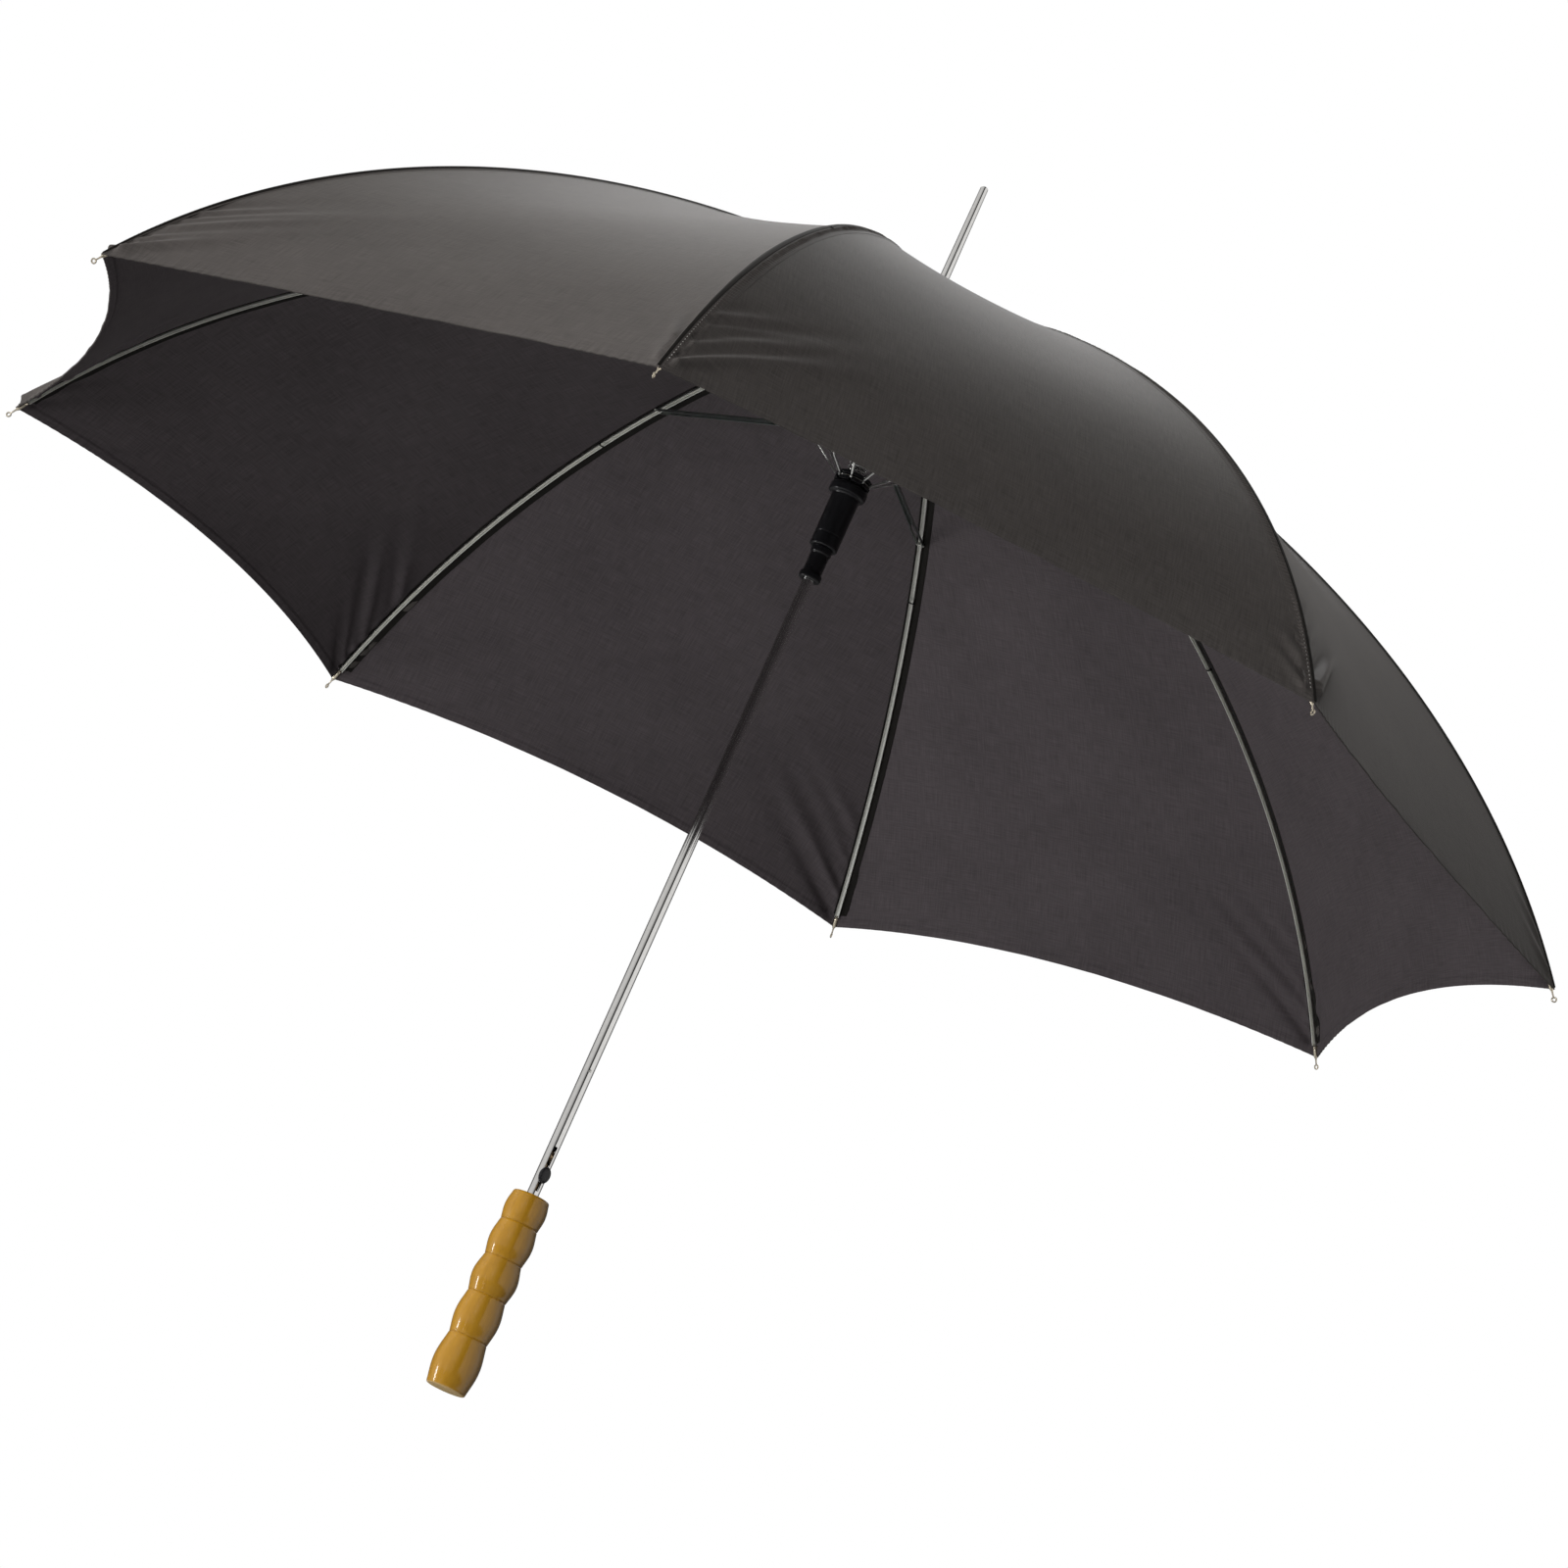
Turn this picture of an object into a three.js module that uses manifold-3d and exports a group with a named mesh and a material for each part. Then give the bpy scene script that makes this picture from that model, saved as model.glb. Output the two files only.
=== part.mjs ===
// Stick umbrella with eight ribs, open, standing on the end of its handle.
// Millimetres, +Z up along the shaft, origin at the centre of the handle's flat end.
import * as THREE from "three";
import { mergeVertices } from "three/addons/utils/BufferGeometryUtils.js";
import Module from "manifold-3d";

const wasm = await Module();
wasm.setup();

// ---- driving dimensions ----
const RIBS = 8;
const FIRST_RIB_AZIMUTH = -90;      // degrees; the ribs count clockwise seen from above
const GAP = 0.3;                    // clearance between pieces that touch

const TIP_RADIUS = 510;             // rib end, measured from the shaft's axis
const TIP_Z = 465;                  // plane of the rib ends
const PIVOT_RADIUS = 10;            // ring wires of the notch and of both runners
const NOTCH_Z = 731;                // rib pivots
const UPPER_RUNNER_Z = 646;         // stretcher pivots
const LOWER_RUNNER_Z = 610.4;       // link pivots
const FERRULE_TOP_Z = 821;

const SHAFT_R = 3.7;
const SHAFT_WALL = 0.6;
const BORE_R = 4.2;                 // runners' and notch's bore
const HANDLE_HEIGHT = 125;
const SHAFT_BOTTOM_Z = 66;
const SLOT_AZIMUTH = -60;           // side of the shaft that carries the button and the slot
const SLOT_BOTTOM_Z = 128.5;
const SLOT_TOP_Z = 157.5;
const SLOT_WIDTH = 2.8;
const BUTTON_Z = 138.7;
const PIN_Z = 207.4;

const RIB_WIDTH = 3.1;
const RIB_DEPTH = 2.6;
const RIB_WALL = 0.55;
const RIB_STEPS = 15;
const RIB_CONTROL_INNER = [214, 713]; // Bezier control points of the rib's line: radius, z
const RIB_CONTROL_OUTER = [407, 619.5];
const RIB_JOINT_T = 0.422;          // share of the rib's curve where the stretcher meets it
const TONGUE_LENGTH = 14;           // flat inner end of a rib, a stretcher or a link
const FORK_LENGTH = 56;             // tines that straddle the rib
const LINK_REACH = 51.6;            // from a stretcher's inner pivot to its link
const TIP_LENGTH = 15;              // rib end piece

const CLOTH = 0.8;                  // thickness of the canopy solid
const CLOTH_CLEARANCE = 1.5;          // between a rib's back and the canopy solid
const HEM_INSET = 22;               // how far the hem curves in halfway between two ribs
const HEM_RISE = 10;
const PANEL_SAG = 6;                // how far a panel lies under the straight line between its ribs

// ---- materials ----
const metal = (color, roughness) => new THREE.MeshStandardMaterial({ color, roughness, metalness: 1 });
const plain = (color, roughness) => new THREE.MeshStandardMaterial({ color, roughness, metalness: 0 });
const chrome = metal(0xd0d0ce, 0.12);
const steel = metal(0xb4b4ae, 0.3);
const darkSteel = metal(0x5c6260, 0.35);
const nickel = metal(0xd8d2bc, 0.3);
const blackPlastic = plain(0x0a0a0b, 0.35);
const varnishedWood = plain(0xb8862c, 0.3);
const fabric = plain(0x3a3634, 0.8);

// ---- helpers ----
const group = new THREE.Group();

function addMesh(name, geometry, material, azimuth = 0) {
  const mesh = new THREE.Mesh(geometry, material);
  mesh.name = name;
  mesh.rotation.z = THREE.MathUtils.degToRad(azimuth);
  group.add(mesh);
}

function solid(geometry) {
  const bare = geometry.clone();
  bare.deleteAttribute("normal");
  bare.deleteAttribute("uv");
  const merged = mergeVertices(bare, 1e-5);
  return new wasm.Manifold(new wasm.Mesh({
    numProp: 3,
    vertProperties: Float32Array.from(merged.attributes.position.array),
    triVerts: Uint32Array.from(merged.index.array),
  }));
}

function geometryOf(body) {
  const mesh = body.getMesh();
  const geometry = new THREE.BufferGeometry();
  geometry.setAttribute("position", new THREE.BufferAttribute(mesh.vertProperties, 3));
  geometry.setIndex(new THREE.BufferAttribute(mesh.triVerts, 1));
  return geometry;
}

function join(first, ...others) {
  return geometryOf(others.reduce((body, other) => body.add(solid(other)), solid(first)));
}

function cut(first, ...others) {
  return geometryOf(others.reduce((body, other) => body.subtract(solid(other)), solid(first)));
}

// A closed body of revolution from [radius, z] pairs.
function turned(profile, segments = 24) {
  const points = profile.map(([radius, z]) => new THREE.Vector2(radius, z));
  return new THREE.LatheGeometry(points, segments).rotateX(Math.PI / 2);
}

// A tube between two heights, as a body of revolution.
function sleeve(inner, outer, bottom, top, segments = 24) {
  return turned([[inner, bottom], [outer, bottom], [outer, top], [inner, top], [inner, bottom]], segments);
}

// A plate that stands in the XZ plane, centred on it, from a shape drawn in x and z.
function plate(shape, thickness, curveSegments = 8) {
  const geometry = new THREE.ExtrudeGeometry(shape, { depth: thickness, bevelEnabled: false, curveSegments });
  return geometry.rotateX(Math.PI / 2).translate(0, thickness / 2, 0);
}

// A block from its lowest and highest corners.
function block(low, high) {
  const size = high.map((value, i) => value - low[i]);
  return new THREE.BoxGeometry(...size).translate(...high.map((value, i) => (value + low[i]) / 2));
}

// A flat tongue along +X with a round eye at the origin.
function eyeTongue(length, thickness, height = 2) {
  const eye = 1.8;
  const start = Math.asin(height / 2 / eye);
  const shape = new THREE.Shape();
  shape.absarc(0, 0, eye, start, 2 * Math.PI - start, false);
  shape.lineTo(length, -height / 2);
  shape.lineTo(length, height / 2);
  shape.closePath();
  shape.holes.push(new THREE.Path().absarc(0, 0, 0.8, 0, 2 * Math.PI, true));
  return plate(shape, thickness, 5);
}

// Turns a piece made along +X to point along a slope in the XZ plane, and puts its eye at a pivot.
function aim(geometry, pivot, target) {
  const slope = Math.atan2(target.z - pivot.z, target.x - pivot.x);
  return geometry.rotateY(-slope).translate(pivot.x, 0, pivot.z);
}

const ribAzimuth = (rib) => FIRST_RIB_AZIMUTH - (rib - 1) * (360 / RIBS);
const point = (radius, z) => new THREE.Vector3(radius, 0, z);

// ---- frame geometry in one rib's plane: x outward, z up ----
const ribLine = new THREE.CubicBezierCurve3(
  point(PIVOT_RADIUS, NOTCH_Z),
  point(...RIB_CONTROL_INNER),
  point(...RIB_CONTROL_OUTER),
  point(TIP_RADIUS, TIP_Z),
);
const ribJoint = ribLine.getPoint(RIB_JOINT_T);
const upperPivot = point(PIVOT_RADIUS, UPPER_RUNNER_Z);
const lowerPivot = point(PIVOT_RADIUS, LOWER_RUNNER_Z);
const stretcherLength = upperPivot.distanceTo(ribJoint);
const linkEnd = upperPivot.clone().lerp(ribJoint, LINK_REACH / stretcherLength).add(point(0, -0.5));
const linkLength = lowerPivot.distanceTo(linkEnd);

function ribPath(from, to, pieces) {
  const points = Array.from({ length: pieces + 1 }, (_, i) => ribLine.getPoint(from + (to - from) * i / pieces));
  return new THREE.CatmullRomCurve3(points);
}

function channelShape(width, depth, wall) {
  const w = width / 2;
  const d = depth / 2;
  const corners = [[-w, -d], [w, -d], [w, d], [w - wall, d], [w - wall, -d + wall],
    [wall - w, -d + wall], [wall - w, d], [-w, d]];
  return new THREE.Shape(corners.map(([x, y]) => new THREE.Vector2(x, y)));
}

function rib() {
  const lastT = 0.985;
  const channel = new THREE.ExtrudeGeometry(channelShape(RIB_WIDTH, RIB_DEPTH, RIB_WALL), {
    steps: RIB_STEPS,
    bevelEnabled: false,
    extrudePath: ribPath(0.015, lastT, RIB_STEPS),
  });
  const tongue = aim(eyeTongue(TONGUE_LENGTH, 1.2), ribLine.getPoint(0), ribLine.getPoint(0.03));
  return join(channel, tongue);
}

// End piece: a pressed shank that runs out into a small ring beyond the hem.
function ribTip() {
  const ring = 1.8;
  const reach = 6;
  const shank = 0.9;
  const start = Math.asin(shank / ring);
  const shape = new THREE.Shape();
  shape.absarc(reach, 0, ring, Math.PI - start, start - Math.PI, true);
  shape.lineTo(1, -shank);
  shape.lineTo(reach - TIP_LENGTH + 2, -1.2);
  shape.lineTo(reach - TIP_LENGTH + 2, 1.2);
  shape.lineTo(1, shank);
  shape.closePath();
  shape.holes.push(new THREE.Path().absarc(reach, 0, 0.9, 0, 2 * Math.PI, false));
  const end = ribLine.getPoint(1);
  const beyond = end.clone().add(ribLine.getTangent(1));
  return aim(plate(shape, 1.4, 5), end, beyond);
}

// U-section bar, open downward, whose outer end is a fork round the rib.
function stretcher() {
  const bar = 1.9;
  const fork = 2.5;
  const forkStart = stretcherLength - FORK_LENGTH;
  const flare = 8;
  const end = stretcherLength + 1.6;
  const outline = (narrow, wide, from, to) => new THREE.Shape([
    [from, -narrow], [forkStart - flare, -narrow], [forkStart, -wide], [to, -wide],
    [to, wide], [forkStart, wide], [forkStart - flare, narrow], [from, narrow],
  ].map(([x, y]) => new THREE.Vector2(x, y)));
  const extruded = (shape, bottom, top) => new THREE.ExtrudeGeometry(shape, {
    depth: top - bottom,
    bevelEnabled: false,
  }).translate(0, 0, bottom);
  const body = extruded(outline(bar, fork, TONGUE_LENGTH - 3, end), -1.2, 1.2);
  const groove = extruded(outline(bar - 0.5, fork - 0.55, TONGUE_LENGTH + 2, end + 1), -2, 0.7);
  const opening = block([forkStart + 1, -fork + 0.55, -2], [end + 1, fork - 0.55, 2]);
  const lowered = block([forkStart + 1, -fork - 1, 0.6], [end + 1, fork + 1, 2]);
  const bodyWithFork = cut(body, groove, opening, lowered);
  return aim(join(bodyWithFork, eyeTongue(TONGUE_LENGTH, 1.2, 2)), upperPivot, ribJoint);
}

// Short bar that lifts the stretcher; its outer end lies inside the stretcher's channel.
function link() {
  const half = 0.7;
  const shape = new THREE.Shape();
  shape.absarc(linkLength - half, 0, half, -Math.PI / 2, Math.PI / 2, false);
  shape.lineTo(TONGUE_LENGTH - 3, half);
  shape.lineTo(TONGUE_LENGTH - 3, -half);
  shape.closePath();
  return aim(join(plate(shape, 2, 4), eyeTongue(TONGUE_LENGTH, 1.1, 1.3)), lowerPivot, linkEnd);
}

// ---- crowns: slotted rings that carry the inner ends ----
function crown(profile, slotDepthRadius, slotWidth, z, slotBottom, slotTop, grooveRadius) {
  let body = solid(turned(profile));
  for (let i = 1; i <= RIBS; i++) {
    const slot = block([slotDepthRadius, -slotWidth / 2, slotBottom], [30, slotWidth / 2, slotTop]);
    body = body.subtract(solid(slot.rotateZ(THREE.MathUtils.degToRad(ribAzimuth(i)))));
  }
  return geometryOf(body.subtract(solid(sleeve(grooveRadius, 30, z - 0.85, z + 0.85))));
}

function ringWire(z) {
  return new THREE.TorusGeometry(PIVOT_RADIUS, 0.45, 5, 24).translate(0, 0, z);
}

function topNotch() {
  const profile = [[BORE_R, 714], [7, 714], [7, 724], [12.2, 725.5], [12.2, 734.4], [5, 735.5],
    [BORE_R, 735.5], [BORE_R, 714]];
  return crown(profile, 7.8, 1.8, NOTCH_Z, 720, 740, 9.2);
}

function upperRunner() {
  const z = UPPER_RUNNER_Z;
  const profile = [[BORE_R, z - 5], [7, z - 5], [7, z - 3.4], [11.8, z - 3.4], [11.8, z + 3.6],
    [7, z + 5], [7, z + 16], [BORE_R, z + 16], [BORE_R, z - 5]];
  return crown(profile, 7.8, 1.8, z, z - 10, z + 10, 9.2);
}

function lowerRunner() {
  const profile = [[BORE_R, 563.3], [8.4, 563.3], [9, 564], [9, 599.4], [11.4, 600], [12, 601.2],
    [12, 604.4], [11.4, 605.6], [9.4, 606], [9.4, 607], [11.6, 607.4], [11.6, 613.2], [10.8, 614],
    [BORE_R, 614], [BORE_R, 563.3]];
  return crown(profile, 7.8, 1.8, LOWER_RUNNER_Z, 607, 620, 9.2);
}

function runnerSleeve() {
  const latch = 5.4;
  return turned([[BORE_R, 541.4], [6.6, 541.4], [7, 542], [7, 545], [6, 546.4], [6, 563], [BORE_R, 563],
    [BORE_R, 553], [latch, 552.5], [latch, 545], [BORE_R, 544.5], [BORE_R, 541.4]]);
}

function openingSpring() {
  const turns = 6;
  const bottom = 615.2;
  const top = 638;
  const radius = 6.4;
  const stepsPerTurn = 11;
  const count = turns * stepsPerTurn;
  const points = Array.from({ length: count + 1 }, (_, i) => {
    const angle = 2 * Math.PI * i / stepsPerTurn;
    return new THREE.Vector3(radius * Math.cos(angle), radius * Math.sin(angle), bottom + (top - bottom) * i / count);
  });
  const section = new THREE.Shape().absarc(0, 0, 0.6, 0, 2 * Math.PI, false);
  return new THREE.ExtrudeGeometry(section, {
    steps: count,
    curveSegments: 3,
    bevelEnabled: false,
    extrudePath: new THREE.CatmullRomCurve3(points),
  });
}

// ---- shaft, handle and ferrule ----
function shaft() {
  const tube = sleeve(SHAFT_R - SHAFT_WALL, SHAFT_R, SHAFT_BOTTOM_Z, NOTCH_Z + 2, 24);
  const half = SLOT_WIDTH / 2;
  const slot = block([0, -half, SLOT_BOTTOM_Z], [9, half, SLOT_TOP_Z]);
  const pinHole = new THREE.CylinderGeometry(1.2, 1.2, 9, 12).rotateZ(Math.PI / 2).translate(4.5, 0, PIN_Z);
  const turn = THREE.MathUtils.degToRad(SLOT_AZIMUTH);
  return cut(tube, slot.rotateZ(turn), pinHole.rotateZ(turn));
}

// Straight turned handle: five bulges between narrow grooves.
function handle() {
  const bulges = [
    { height: 32.7, radius: 14.4, groove: 12.25 },
    { height: 26.8, radius: 13.9, groove: 12.1 },
    { height: 23.6, radius: 14.1, groove: 12.0 },
    { height: 23.1, radius: 13.5, groove: 11.8 },
    { height: 18.9, radius: 12.9, groove: 11.75 },
  ];
  const topRadius = 11.3;
  const steps = 5;
  const profile = [[0, 0]];
  let z = 0;
  bulges.forEach(({ height, radius, groove }, i) => {
    const next = i + 1 < bulges.length ? bulges[i + 1].groove : topRadius;
    for (let k = 0; k <= steps; k++) {
      const share = k / steps;
      const base = groove + (next - groove) * share;
      const middle = (groove + next) / 2;
      const wave = Math.sin(Math.PI * share) ** 1.3;
      profile.push([base + (radius - middle) * wave, z + height * share * 0.99 + 0.12]);
    }
    z += height;
  });
  profile.push([topRadius - 0.8, HANDLE_HEIGHT], [SHAFT_R + GAP, HANDLE_HEIGHT],
    [SHAFT_R + GAP, SHAFT_BOTTOM_Z - GAP], [0, SHAFT_BOTTOM_Z - GAP]);
  profile[1][1] = 0;
  profile[1][0] -= 0.9;
  profile.splice(2, 0, [profile[1][0] + 0.9, 0.9]);
  return turned(profile, 22);
}

function ferrule() {
  return turned([[0, 733.6], [2.9, 733.6], [3.05, 741], [3.05, 760], [2.55, 819.6], [2.2, FERRULE_TOP_Z],
    [0, FERRULE_TOP_Z]], 20);
}

function shaftPin() {
  const pin = new THREE.CylinderGeometry(0.9, 0.9, 1.4, 10).rotateZ(Math.PI / 2).translate(SHAFT_R - 0.4, 0, PIN_Z);
  return pin;
}

// Oval cap outside the tube on a stem that reaches into it through the slot.
function releaseButton() {
  const cap = new THREE.Shape().absellipse(0, 0, 5.2, 3.6, 0, 2 * Math.PI, false, 0);
  const round = new THREE.ExtrudeGeometry(cap, {
    depth: 1,
    bevelEnabled: true,
    bevelThickness: 0.5,
    bevelSize: 0.5,
    bevelOffset: -0.5,
    bevelSegments: 2,
    curveSegments: 10,
  }).rotateY(Math.PI / 2).translate(6, 0, BUTTON_Z);
  const stem = block([1.2, -0.95, BUTTON_Z - 3], [6.4, 0.95, BUTTON_Z + 3]);
  return join(round, stem);
}

// Leaf spring inside the tube; its hook looks out of the slot's upper half.
function catchSpring() {
  const shape = new THREE.Shape([
    [-0.6, 112], [0, 112], [0.4, 146.5], [5, 150.3], [5, 151.3], [1.2, 156], [0.6, 156],
    [3.4, 151.2], [-0.3, 147.2],
  ].map(([x, y]) => new THREE.Vector2(x, y)));
  return plate(shape, 1.8);
}

// ---- canopy ----
// Ridge over a rib: just outside the rib, lifted near the centre to pass over the notch.
function ridge(share) {
  const onRib = ribLine.getPoint(share);
  const tangent = ribLine.getTangent(share);
  const lift = RIB_DEPTH / 2 + CLOTH_CLEARANCE + 3 * Math.exp(-((onRib.x / 60) ** 2));
  return point(onRib.x - tangent.z * lift, onRib.z + tangent.x * lift);
}

// Inner face of a panel; across runs from -1 to 1 between two ribs, the panel's middle on +X.
function panelPoint(share, across) {
  const edge = ridge(share);
  const halfAngle = Math.PI / RIBS;
  const sagging = 1 - across * across;
  const x = edge.x * Math.cos(halfAngle) - (HEM_INSET * share ** 3 + PANEL_SAG * Math.sin(Math.PI * share) * 0.4) * sagging;
  const z = edge.z + (HEM_RISE * share ** 3 - PANEL_SAG * Math.sin(Math.PI * share)) * sagging;
  const y = (edge.x * Math.sin(halfAngle) - GAP) * across;
  return new THREE.Vector3(x, y, z);
}

// A closed sheet between two faces given as functions of two shares from 0 to 1.
function sheet(face, thickness, rows, columns) {
  const inner = [];
  for (let i = 0; i <= rows; i++) {
    for (let j = 0; j <= columns; j++) {
      inner.push(face(i / rows, j / columns));
    }
  }
  const at = (i, j) => inner[i * (columns + 1) + j];
  const outer = inner.map((p, n) => {
    const i = Math.floor(n / (columns + 1));
    const j = n % (columns + 1);
    const along = at(Math.min(i + 1, rows), j).clone().sub(at(Math.max(i - 1, 0), j));
    const sideways = at(i, Math.min(j + 1, columns)).clone().sub(at(i, Math.max(j - 1, 0)));
    return p.clone().addScaledVector(along.cross(sideways).normalize(), thickness);
  });
  const positions = [...inner, ...outer].flatMap((p) => [p.x, p.y, p.z]);
  const triangles = [];
  const shift = inner.length;
  const quad = (a, b, c, d) => triangles.push(a, b, c, a, c, d);
  const index = (i, j) => i * (columns + 1) + j;
  for (let i = 0; i < rows; i++) {
    for (let j = 0; j < columns; j++) {
      const [a, b, c, d] = [index(i, j), index(i + 1, j), index(i + 1, j + 1), index(i, j + 1)];
      quad(a, d, c, b);
      quad(a + shift, b + shift, c + shift, d + shift);
    }
  }
  for (let i = 0; i < rows; i++) {
    quad(index(i, 0), index(i + 1, 0), index(i + 1, 0) + shift, index(i, 0) + shift);
    quad(index(i + 1, columns), index(i, columns), index(i, columns) + shift, index(i + 1, columns) + shift);
  }
  for (let j = 0; j < columns; j++) {
    quad(index(0, j + 1), index(0, j), index(0, j) + shift, index(0, j + 1) + shift);
    quad(index(rows, j), index(rows, j + 1), index(rows, j + 1) + shift, index(rows, j) + shift);
  }
  const geometry = new THREE.BufferGeometry();
  geometry.setAttribute("position", new THREE.Float32BufferAttribute(positions, 3));
  geometry.setIndex(triangles);
  return geometry;
}

function canopyPanel() {
  const firstShare = 0.002;
  return sheet((i, j) => panelPoint(firstShare + (1 - firstShare) * i, 2 * j - 1), CLOTH, 13, 6);
}

// Tie that holds the rolled canopy: a band on one panel's outer face, beside a rib.
function closureStrap() {
  const width = 18;
  return sheet((i, j) => {
    const share = 0.66 + 0.3 * i;
    const reach = ridge(share).x * Math.sin(Math.PI / RIBS) - GAP;
    const p = panelPoint(share, 1 - (4 + width * (1 - j)) / reach);
    return p.add(point(0.9, 1.2));
  }, 1, 10, 1);
}

function strapButton() {
  const share = 0.67;
  const reach = ridge(share).x * Math.sin(Math.PI / RIBS) - GAP;
  const button = new THREE.CylinderGeometry(4.6, 5, 2, 16).rotateX(Math.PI / 2);
  const p = panelPoint(share + 0.02, 1 - 13 / reach);
  return button.rotateY(0.62).translate(p.x + 3, p.y, p.z + 3.7);
}

function canopyCap() {
  return turned([[3.5, 738.6], [10, 738.2], [12.5, 737.6], [12.5, 738.4], [9, 739.8], [6, 740.6],
    [3.5, 741], [3.5, 738.6]], 24);
}

// ---- assembly ----
addMesh("handle", handle(), varnishedWood);
addMesh("shaft", shaft(), chrome);
addMesh("ferrule", ferrule(), chrome);
addMesh("shaft_pin", shaftPin(), steel, SLOT_AZIMUTH);
addMesh("catch_spring", catchSpring(), steel, SLOT_AZIMUTH);
addMesh("release_button", releaseButton(), blackPlastic, SLOT_AZIMUTH);
addMesh("top_notch", topNotch(), blackPlastic);
addMesh("notch_wire", ringWire(NOTCH_Z), steel);
addMesh("upper_runner", upperRunner(), blackPlastic);
addMesh("upper_runner_wire", ringWire(UPPER_RUNNER_Z), steel);
addMesh("opening_spring", openingSpring(), chrome);
addMesh("lower_runner", lowerRunner(), blackPlastic);
addMesh("lower_runner_wire", ringWire(LOWER_RUNNER_Z), steel);
addMesh("runner_sleeve", runnerSleeve(), blackPlastic);
for (let i = 1; i <= RIBS; i++) {
  addMesh(`rib_${i}`, rib(), steel, ribAzimuth(i));
  addMesh(`rib_tip_${i}`, ribTip(), nickel, ribAzimuth(i));
  addMesh(`stretcher_${i}`, stretcher(), darkSteel, ribAzimuth(i));
  addMesh(`link_${i}`, link(), chrome, ribAzimuth(i));
  addMesh(`canopy_panel_${i}`, canopyPanel(), fabric, ribAzimuth(i) - 180 / RIBS);
}
addMesh("canopy_cap", canopyCap(), fabric);
addMesh("closure_strap", closureStrap(), fabric, ribAzimuth(5) - 180 / RIBS);
addMesh("strap_button", strapButton(), nickel, ribAzimuth(5) - 180 / RIBS);

export default group;
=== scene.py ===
import math

import bmesh
import bpy
import numpy as np
from mathutils import Matrix, Vector


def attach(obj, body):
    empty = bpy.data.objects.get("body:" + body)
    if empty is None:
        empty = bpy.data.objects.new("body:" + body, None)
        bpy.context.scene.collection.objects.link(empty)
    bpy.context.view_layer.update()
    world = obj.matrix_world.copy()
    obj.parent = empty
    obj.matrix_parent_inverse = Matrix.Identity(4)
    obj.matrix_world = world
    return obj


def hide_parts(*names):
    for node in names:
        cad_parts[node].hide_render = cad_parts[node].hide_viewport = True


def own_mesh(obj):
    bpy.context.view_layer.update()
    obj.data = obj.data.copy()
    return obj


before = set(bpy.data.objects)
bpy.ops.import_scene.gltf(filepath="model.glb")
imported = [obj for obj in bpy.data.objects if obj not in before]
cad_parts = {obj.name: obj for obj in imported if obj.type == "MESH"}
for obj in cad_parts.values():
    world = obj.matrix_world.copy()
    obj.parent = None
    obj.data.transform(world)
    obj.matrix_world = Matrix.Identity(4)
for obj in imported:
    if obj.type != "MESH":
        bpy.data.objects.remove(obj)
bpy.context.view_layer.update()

# ---- sizes of the umbrella, in metres; the frame and canopy repeat the CAD model's driving dimensions ----
MM = 0.001
RIBS = 8
FIRST_RIB_AZIMUTH = math.radians(-90)
HALF_PANEL = math.pi / RIBS
TIP = (0.510, 0.465)                # rib end: distance from the axis, height
RIB_CURVE = ((0.010, 0.731), (0.214, 0.713), (0.407, 0.6195), TIP)
PIVOT_RADIUS = 0.010
UPPER_RUNNER_Z = 0.646
LOWER_RUNNER_Z = 0.6104
RIB_JOINT_T = 0.422
LINK_REACH = 0.0516
RIB_WIDTH = 0.0031
RIB_DEPTH = 0.0026
SHAFT_RADIUS = 0.0037
SLOT_AZIMUTH = math.radians(-60)
BUTTON_Z = 0.1387
HEM_INSET = 0.022
HEM_WIDTH = 0.0065
HEM_RISE = 0.010
PANEL_SAG = 0.006
CLOTH = 0.0003                      # cloth thickness
WELT_TAPER = 0.16                   # length beside the tip over which the welt narrows
PUCKER_PITCH = 0.0030               # along a seam
FOLD_LIFT = 0.25                    # tilt of a band's fold axis off its rib; the axis is worked out but not applied
BANDS = 8                           # pieces along a half panel, each riding on its stretch of rib

# the handle's bulges in mm: start, height, radius, radius of the groove below
HANDLE_BULGES = [
    (0, 32.7, 14.4, 12.25), (32.7, 26.8, 13.9, 12.1), (59.5, 23.6, 14.1, 12.0),
    (83.1, 23.1, 13.5, 11.8), (106.2, 18.9, 12.9, 11.75),
]
HANDLE_TOP_RADIUS = 11.3
HANDLE_TOP = 125.0
HANDLE_BORE = (4.0, 65.7)           # radius and floor of the hole for the shaft
HANDLE_ROUNDING = 1.1               # of the flat end's rim

# ---- camera: where the photograph was taken from ----
CAMERA_AIM = Vector((0.0375, 0.0016, 0.4160))
CAMERA_DISTANCE = 3.21
CAMERA_AZIMUTH = math.radians(12.39)
CAMERA_ELEVATION = math.radians(-14.34)
CAMERA_ROLL = math.radians(24.02)
CAMERA_LENS = 122.07

FLOOR_Z = -1.20
FLOOR_HALF_SIZE = 6.0
FLOOR_GLOW = 0.72                   # what the camera sees of the floor beyond the light that falls on it
ROOM_LIGHT = 0.02                   # share of the boards' light that matt surfaces get
BOARDS = [                          # (place, brightness), from left to right
    (0.20, 0.68), (0.36, 0.50), (0.47, 0.20), (0.52, 0.03), (0.66, 0.03), (0.71, 0.85),
]


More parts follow.
